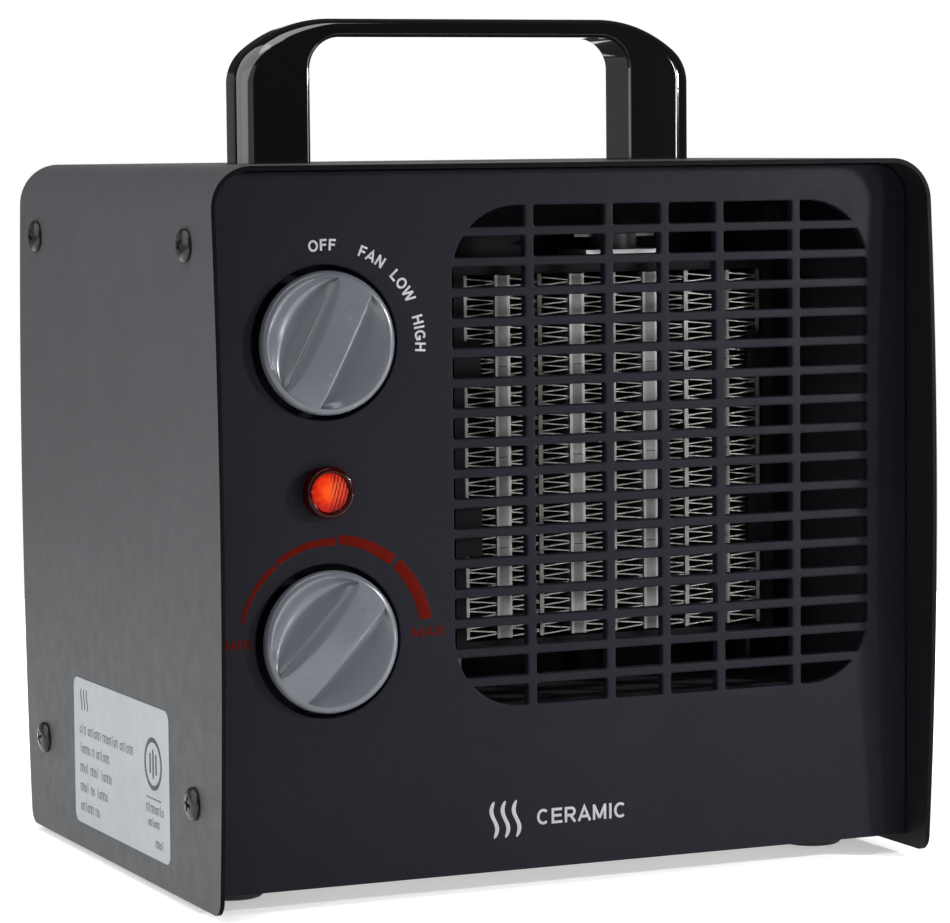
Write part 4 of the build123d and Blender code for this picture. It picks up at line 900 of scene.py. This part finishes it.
def build_lens():
    """Shallow ribbed bowl inside a raised, rounded collar."""
    front = lens_low.y
    centre = (LAMP_X, 0, LAMP_Z)
    rings = 30
    bowl = []
    for ring in range(rings):
        radius = LENS_FACE_R * (1 - ring / rings)
        bowl.append((radius, front + 0.8 - 0.5 * (1 - (radius / LENS_FACE_R) ** 2)))
    bowl_points, bowl_faces = lathe(bowl + [(0.02, front + 0.3)], centre)
    ribbed = []
    for x, y, z in bowl_points:
        u, v = x - LAMP_X, z - LAMP_Z
        slant = u * 0.96 + v * 0.27
        share = min(1.0, max(0.0, (slant + 0.4) / 0.8)) * (1 - (hypot(u, v) / LENS_FACE_R) ** 6)
        ribbed.append((x, y - 0.04 * share * sin(slant * 2 * pi / LENS_RIB_PITCH), z))
    collar = [(LENS_FACE_R, front + 0.8), (LENS_FACE_R + 0.15, front + 0.3)]
    for a in (radians(30), radians(60), radians(90)):
        collar.append((LENS_FACE_R + 0.6 - 0.45 * cos(a), front + 0.3 * (1 - sin(a))))
    for a in [radians(a) for a in (10, 25, 40, 55, 70, 90)]:
        collar.append((LENS_R - 1.1 * (1 - sin(a)), front + 1.1 * (1 - cos(a))))
    collar += [(LENS_R, PANEL_FACE), (LENS_BARREL_R, PANEL_FACE), (LENS_BARREL_R, lens_high.y)]
    collar_part = lathe(collar, centre)
    tags = [0] * len(bowl_faces) + [1] * len(collar_part[1])
    lens = merge_parts((ribbed, bowl_faces), collar_part)
    new_piece("pilot_lamp", lens, "casing", [lens_material, lens_collar], ["pilot_lens"],
              sharp_deg=70, weighted=False, tags=tags)


build_lens()


# ---- screws on the sides
SCREW_R, SCREW_H = 4.35, 2.2
SCREW_Y, SCREW_Z = (-60.3, 63.4), (28.4, 170.2)
RECESS_LONG, RECESS_WIDE = 2.35, 0.52  # half sizes of one arm of the cross recess


def recess_cutter(turn):
    """Tapered bar that cuts one arm pair of the recess, upright or level."""
    block = []
    for level, shrink in ((SCREW_H + 0.6, 1.0), (SCREW_H - 1.35, 0.45)):
        for a, b in ((-1, -1), (1, -1), (1, 1), (-1, 1)):
            y = a * RECESS_LONG * (0.35 + 0.65 * shrink)
            z = b * RECESS_WIDE * (0.6 + 0.4 * shrink)
            block.append((level, z, y) if turn else (level, y, z))
    sides = [(0, 1, 2, 3), (4, 5, 6, 7)] + band((0, 1, 2, 3), (4, 5, 6, 7))
    return new_object("cut_work", mesh_from("cut_work", block, sides))


def screw_head():
    """One pan head with a cross recess, about the origin and facing +X, in millimetres."""
    profile = [(0.0, SCREW_H)]
    for a in range(5, 91, 8):
        angle = radians(a)
        profile.append((SCREW_R * sin(angle) ** 0.92, 0.45 + (SCREW_H - 0.45) * cos(angle) ** 0.9))
    profile += [(SCREW_R, 0.3), (SCREW_R - 0.25, 0.0), (0.0, 0.0)]
    head = new_object("head_work", mesh_from("head_work", *lathe(profile, (0, 0, 0), "X", 48)))
    cutters = [recess_cutter(turn) for turn in (False, True)]
    for cutter in cutters:
        boolean = head.modifiers.new("cut", "BOOLEAN")
        boolean.operation = "DIFFERENCE"
        boolean.solver = "EXACT"
        boolean.object = cutter
    round_edges(head, 0.09, 2, 42)
    made = bpy.data.meshes.new_from_object(head.evaluated_get(bpy.context.evaluated_depsgraph_get()))
    found = ([tuple(v.co / MM) for v in made.vertices], [tuple(f.vertices) for f in made.polygons])
    for extra in [head] + cutters:
        bpy.data.objects.remove(extra)
    return found


def build_side_screws():
    points, faces = screw_head()
    parts = []
    turns = iter((12, 48, 70, 25, 33, 81, 5, 57))
    for side, y, z in product((-1, 1), SCREW_Y, SCREW_Z):
        swing = radians(next(turns))
        moved = []
        for out, b, c in points:
            c, b = turned(c, b, swing)
            moved.append((side * (WIDTH / 2 + out), y + b, z + c))
        parts.append((moved, faces))
    new_piece("shell_screws", merge_parts(*parts), "casing", [black_metal], ["side_screws"],
              sharp_deg=40)


build_side_screws()


# ---- printing
PRINT_RISE, PRINT_T = 0.05, 0.08  # a print stands this far proud of the panel, and its thickness
LETTER_WEIGHT = 0.19  # stroke width, as a share of a letter's height


def print_outline(outline, lift=0.0, edge=0.02):
    """One thin printed shape on the front panel, from a closed outline in the XZ plane."""
    return pierced_plate(outline, [], PANEL_FACE - PRINT_RISE - lift, 1, PRINT_T, edge)


def print_on_panel(name, material, parts):
    new_piece(name, merge_parts(*parts), "casing", [material], weighted=False)


def bow(centre_x, centre_z, radius_x, radius_z, start_deg, end_deg, steps=20):
    """Points along part of an ellipse."""
    return [(centre_x + radius_x * x, centre_z + radius_z * z)
            for x, z in arc_points(0, 0, 1, start_deg, end_deg, steps)]


def upright(x):
    """Full-height stroke of a letter."""
    return [(x, 0), (x, 1)]


def level(z, end):
    """Level stroke of a letter, from its stem."""
    return [(0.19, z), (end, z)]


# each letter: how far the next one stands, then its strokes, for capitals of height 1
STEM = upright(0.19)
LETTERS = {
    "A": (1.0, [[(0.1, 0), (0.5, 0.93), (0.9, 0)], [(0.27, 0.3), (0.73, 0.3)]]),
    "C": (1.0, [bow(0.52, 0.5, 0.36, 0.42, 48, 312)]),
    "E": (0.93, [STEM, level(0.91, 0.84), level(0.51, 0.8), level(0.09, 0.86)]),
    "F": (0.85, [STEM, level(0.91, 0.79), level(0.5, 0.71)]),
    "G": (1.08, [bow(0.53, 0.5, 0.38, 0.42, 45, 325), [(0.9, 0.12), (0.9, 0.5)],
                 [(0.97, 0.44), (0.56, 0.44)]]),
    "H": (1.0, [STEM, upright(0.81), level(0.52, 0.81)]),
    "I": (0.39, [upright(0.195)]),
    "L": (0.85, [STEM, level(0.09, 0.8)]),
    "M": (1.16, [STEM, upright(0.97), [(0.2, 0.95), (0.58, 0.1)], [(0.96, 0.95), (0.58, 0.1)]]),
    "N": (1.0, [STEM, upright(0.81), [(0.2, 0.93), (0.8, 0.07)]]),
    "O": (1.08, [bow(0.54, 0.5, 0.39, 0.42, 90, 450, 40)]),
    "R": (1.0, [STEM, [(0.19, 0.91)] + bow(0.56, 0.68, 0.24, 0.23, 90, -90, 12) + [(0.19, 0.45)],
                [(0.5, 0.45), (0.84, 0)]]),
    "W": (1.32, [[(0.06, 1), (0.36, 0)], [(0.36, 0), (0.66, 1)], [(0.66, 1), (0.96, 0)],
                 [(0.96, 0), (1.26, 1)]]),
    "X": (0.93, [[(0.08, 0), (0.85, 1)], [(0.08, 1), (0.85, 0)]]),
}


def stroke_outline(path, weight):
    """Closed outline of one pen stroke with mitred bends."""
    sides = ([], [])
    for index, here in enumerate(path):
        here = Vector(here)
        into = here - Vector(path[index - 1]) if index else Vector(path[1]) - here
        away = Vector(path[index + 1]) - here if index + 1 < len(path) else into
        into.normalize()
        away.normalize()
        normal = Vector((-(into.y + away.y), into.x + away.x))
        reach = normal * (weight / 2 / max(normal.length_squared / 2, 0.35))
        sides[0].append(tuple(here + reach))
        sides[1].append(tuple(here - reach))
    return sides[1] + sides[0][::-1]


def letter_plates(letter, height, place, stretch=1.0, weight=LETTER_WEIGHT):
    """Strokes of one letter as thin plates; place turns its own (x, z) in millimetres into panel (x, z)."""
    parts = []
    for index, path in enumerate(LETTERS[letter][1]):
        scaled = [(x * height * stretch, z * height) for x, z in path]
        outline = [place(x, z) for x, z in stroke_outline(scaled, weight * height)]
        parts.append(print_outline(outline, 0.004 * index, 0.012))
    return parts


def dial_word(text, centre_deg):
    """One word set round the upper dial, its letters standing on the circle."""
    advances = [LETTERS[letter][0] * WORD_H * WORD_STRETCH for letter in text]
    start = -sum(advances) / 2
    parts = []
    for letter, advance in zip(text, advances):
        swing = radians(centre_deg) + (start + advance / 2) / WORD_RADIUS

        def place(x, z, swing=swing, advance=advance):
            right, up = turned(x - advance / 2, WORD_RADIUS + z, swing)
            return WORD_X + right, WORD_Z + up

        parts += letter_plates(letter, WORD_H, place, WORD_STRETCH)
        start += advance
    return parts


def straight_word(text, left, base, height, stretch=1.0, weight=LETTER_WEIGHT):
    """One word on a level line, from its left end."""
    parts = []
    for letter in text:
        parts += letter_plates(letter, height, lambda x, z, left=left: (left + x, base + z), stretch, weight)
        left += LETTERS[letter][0] * height * stretch
    return parts


WORD_H = 2.9
WORD_STRETCH = 0.93
WORD_RADIUS = 24.0
WORD_X, WORD_Z = KNOB_X + 0.85, MODE_Z - 0.6  # the words' circle sits a little right of the knob's, and lower
LIMIT_H = 2.5
dial_parts = []
for text, centre_deg in (("OFF", -3.0), ("FAN", 28.9), ("LOW", 54.8), ("HIGH", 84.8)):
    dial_parts += dial_word(text, centre_deg)
print_on_panel("dial_words", white_ink, dial_parts)
print_on_panel("dial_limits", red_ink, straight_word("MIN", KNOB_X - 28.4, THERMO_Z - 0.8, LIMIT_H, 1.22)
               + straight_word("MAX", KNOB_X + 22.9, THERMO_Z - 0.4, LIMIT_H, 1.25))


def scale_band(start, end, inner_start, inner_end, width_start, width_end, steps=24):
    """Band round the lower dial that widens as it goes; degrees clockwise from upright."""
    inner, outer = [], []
    for step in range(steps + 1):
        t = step / steps
        swing = radians(start + (end - start) * t)
        low = inner_start + (inner_end - inner_start) * t
        high = low + width_start + (width_end - width_start) * t
        for edge, radius in ((inner, low), (outer, high)):
            right, up = turned(0, radius, swing)
            edge.append((KNOB_X + right, THERMO_Z + up))
    return inner + outer[::-1]


heat_bands = ((-75.5, -35.6, 23.5, 23.7, 0.9, 1.4), (-33.4, 5.4, 24.1, 24.5, 1.4, 2.1),
              (7.2, 42.4, 24.9, 25.2, 2.4, 3.1), (45.2, 81.2, 25.4, 25.7, 3.1, 3.5))
print_on_panel("heat_scale", red_ink, [print_outline(scale_band(*sizes)) for sizes in heat_bands])


def wave(x, low, high, swing, width, steps=30):
    """Upright wavy stroke with rounded taper."""
    left, right = [], []
    for step in range(steps + 1):
        t = step / steps
        z = low + (high - low) * t
        offset = swing * sin(t * 2 * pi)
        half = width / 2 * sqrt(max(0.02, 1 - (2 * t - 1) ** 6))
        left.append((x + offset - half, z))
        right.append((x + offset + half, z))
    return right + left[::-1]


WAVE_X, WAVE_PITCH, WAVE_LOW, WAVE_HIGH = -22.6, 3.2, 14.0, 23.8
waves = [wave(WAVE_X + WAVE_PITCH * k, WAVE_LOW, WAVE_HIGH, 0.8, 1.15) for k in range(3)]
print_on_panel("heat_waves", mark_ink, [print_outline(outline) for outline in waves])
print_on_panel("front_word", mark_ink, straight_word("CERAMIC", -10.6, 16.7, 4.1, weight=0.17))

# ---- label on the left side
label_low, label_high = corners("rating_label")
LABEL_FOOT = label_low.z
LABEL_W = label_high.y - label_low.y
LABEL_H = label_high.z - label_low.z
LINE_PITCH = 5.35
RING_X, RING_Z = 66.0, LABEL_FOOT + 25.0  # centre of the generic ring, from the label's front edge


def on_side(outline, face_x, thickness, edge, holes=()):
    """Plate on the left side, from an outline in (distance from the label's front edge, height)."""
    points, faces = pierced_plate(outline, holes, 0, 1, thickness, edge)
    return [(face_x + y, label_high.y - x, z) for x, y, z in points], faces


film_outline = rounded_box(LABEL_W / 2, LABEL_FOOT + LABEL_H / 2, LABEL_W, LABEL_H, 3.0, 8)
film = on_side(film_outline, label_low.x, 0.15, 0.04)
new_piece("label_film", film, "casing", [label_film], ["rating_label"])


def mock_word(start, base, marks, height, weight=0.34):
    """Row of small print marks, as wide as a printed word; they are not letters."""
    found = []
    step = 0.62 * height
    for k in range(marks):
        x = start + (k + 0.5) * step
        half, low = 0.2 * height, 0.7 * height
        if (marks + 2 * k) % 5 == 0:
            path = [(x, base), (x, base + height)]
        elif (marks + k) % 3 == 0:
            path = bow(x, base + low / 2, half, low / 2 - weight / 2, 90, 450, 14)
        else:
            path = [(x - half, base), (x - half, base + low), (x + half, base + low), (x + half, base)]
        found.append(stroke_outline(path, weight))
    return found, start + marks * step


def mock_line(start, rise, words, height):
    """Line of print made of several mock words; rise is above the label's foot."""
    found = []
    for marks in words:
        outlines, start = mock_word(start, LABEL_FOOT + rise, marks, height)
        found += outlines
        start += 0.5 * height
    return found


def build_label_print():
    """Mock text, a rule, three small waves and a ring with bars."""
    outlines = []
    for row, words in enumerate(((3, 6, 7, 6), (5, 1, 6), (4, 4, 5), (4, 2, 5), (6, 2))):
        outlines += mock_line(4.6, 24.9 - LINE_PITCH * row, words, 3.0)
    for start, rise, marks, height in ((67.0, 3.0, 4, 2.6), (60.0, 11.8, 8, 2.8), (61.4, 8.2, 6, 2.4)):
        outlines += mock_line(start, rise, (marks,), height)
    outlines.append(rounded_box(RING_X, LABEL_FOOT + 15.8, 11.6, 0.35, 0.12, 2))
    outlines += [wave(6.6 + 2.4 * k, LABEL_FOOT + 31.5, LABEL_FOOT + 37.5, 0.5, 0.8) for k in range(3)]
    for offset, bar_h in ((-2.3, 5.4), (0.0, 7.8), (2.3, 5.4)):
        outlines.append(rounded_box(RING_X + offset, RING_Z, 1.15, bar_h, 0.3, 3))
    sizes = (label_low.x - 0.03, 0.05, 0.01)
    parts = [on_side(outline, *sizes) for outline in outlines]
    circle, hole = (circle_outline(RING_X, RING_Z, radius, 64) for radius in (7.0, 5.7))
    parts.append(on_side(circle, *sizes, [hole]))
    new_piece("label_print", merge_parts(*parts), "casing", [label_ink], weighted=False)


build_label_print()


# ---- camera, light and floor
FLOOR_R = 0.62  # past this the white of the studio takes over


def place_camera():
    """Camera in front of the heater and to its left: it looks 24 deg right of +Y and a little down."""
    azimuth, tilt, roll = radians(23.887), radians(4.773), radians(-0.544)
    forward = Vector((sin(azimuth) * cos(tilt), cos(azimuth) * cos(tilt), -sin(tilt)))
    level_right = Vector((cos(azimuth), -sin(azimuth), 0))
    level_up = level_right.cross(forward)
    right = cos(roll) * level_right + sin(roll) * level_up
    up = -sin(roll) * level_right + cos(roll) * level_up
    data = bpy.data.cameras.new("camera")
    data.sensor_width = 36.0
    data.lens = 146.32
    data.clip_start = 0.01
    camera = new_object("camera", data)
    turn = Matrix((right, up, -forward)).transposed().to_4x4()
    camera.matrix_world = Matrix.Translation((-0.4298, -0.9774, 0.1961)) @ turn
    bpy.context.scene.camera = camera


# name, degrees from the front towards +X, degrees up, distance, width and height in metres, watts
LIGHTS = (
    ("key", 48, 12, 0.62, 0.035, 0.035, 3.3),
    ("right_strip", 36, 2, 0.95, 0.035, 0.3, 1.2),
    ("low_glint", 48, -9, 0.62, 0.1, 0.02, 0.4),
    ("near_glint", 18, -26, 0.22, 0.03, 0.01, 0.02),
    ("front_left_card", -56, 4, 1.3, 1.6, 1.2, 3),
    ("left_card", -86, 38, 1.5, 2.4, 2.2, 34),
    ("rear_left_card", -152, 0, 1.6, 1.0, 0.8, 0.48),
    ("rear_card", 156, 9, 1.6, 1.1, 0.5, 2.2),
    ("top_card", -20, 78, 1.4, 1.0, 1.0, 10),
)
LIGHT_TARGET = Vector((0, 0, 0.11))  # middle of the heater


def area_light(name, angle_deg, height_deg, distance, width, height, watts):
    """Soft box aimed at the heater."""
    angle, rise = radians(angle_deg), radians(height_deg)
    away = Vector((sin(angle) * cos(rise), -cos(angle) * cos(rise), sin(rise)))
    data = bpy.data.lights.new(name, "AREA")
    data.shape = "RECTANGLE"
    data.size = width
    data.size_y = height
    data.energy = watts
    light = new_object(name, data)
    light.visible_camera = False
    light.location = LIGHT_TARGET + distance * away
    light.rotation_euler = (-away).to_track_quat("-Z", "Y").to_euler()


def build_studio():
    """Faint surroundings that the camera sees as white, the lights, and a floor that fades into white."""
    world = bpy.data.worlds.new("studio")
    bpy.context.scene.world = world
    world.use_nodes = True
    tree = world.node_tree
    seen = add_node(tree, "LightPath").outputs["Is Camera Ray"]
    feed(tree, tree.nodes["Background"], Color=(1, 1, 1, 1), Strength=map_range(tree, seen, 0, 1, 0.05, 1.0))
    for light in LIGHTS:
        area_light(*light)
    floor_material, tree, shader = start_material("floor_pale")
    coords = object_coords(tree)
    soft = noise(tree, coords, 180.0, 3.0)
    pale = blend_colors(tree, soft, (0.0, (0.84, 0.84, 0.84)), (1.0, (0.88, 0.88, 0.88)))
    # painted light: the floor glows, 0.4 near the heater rising to 0.95 further out, so it reads as white
    glow = map_range(tree, length_output(tree, coords), 120.0, 420.0, 0.4, 0.95)
    feed(tree, shader, Base_Color=pale, Roughness=0.9, Specular_IOR_Level=0.0, Emission_Color=(1, 1, 1, 1),
         Emission_Strength=glow)
    bpy.ops.mesh.primitive_circle_add(vertices=128, radius=FLOOR_R, fill_type="NGON", location=(0, 0, 0))
    floor = bpy.context.object
    floor.name = "floor"
    floor.data.materials.append(floor_material)
    bpy.context.scene.view_settings.view_transform = "Standard"


place_camera()
build_studio()
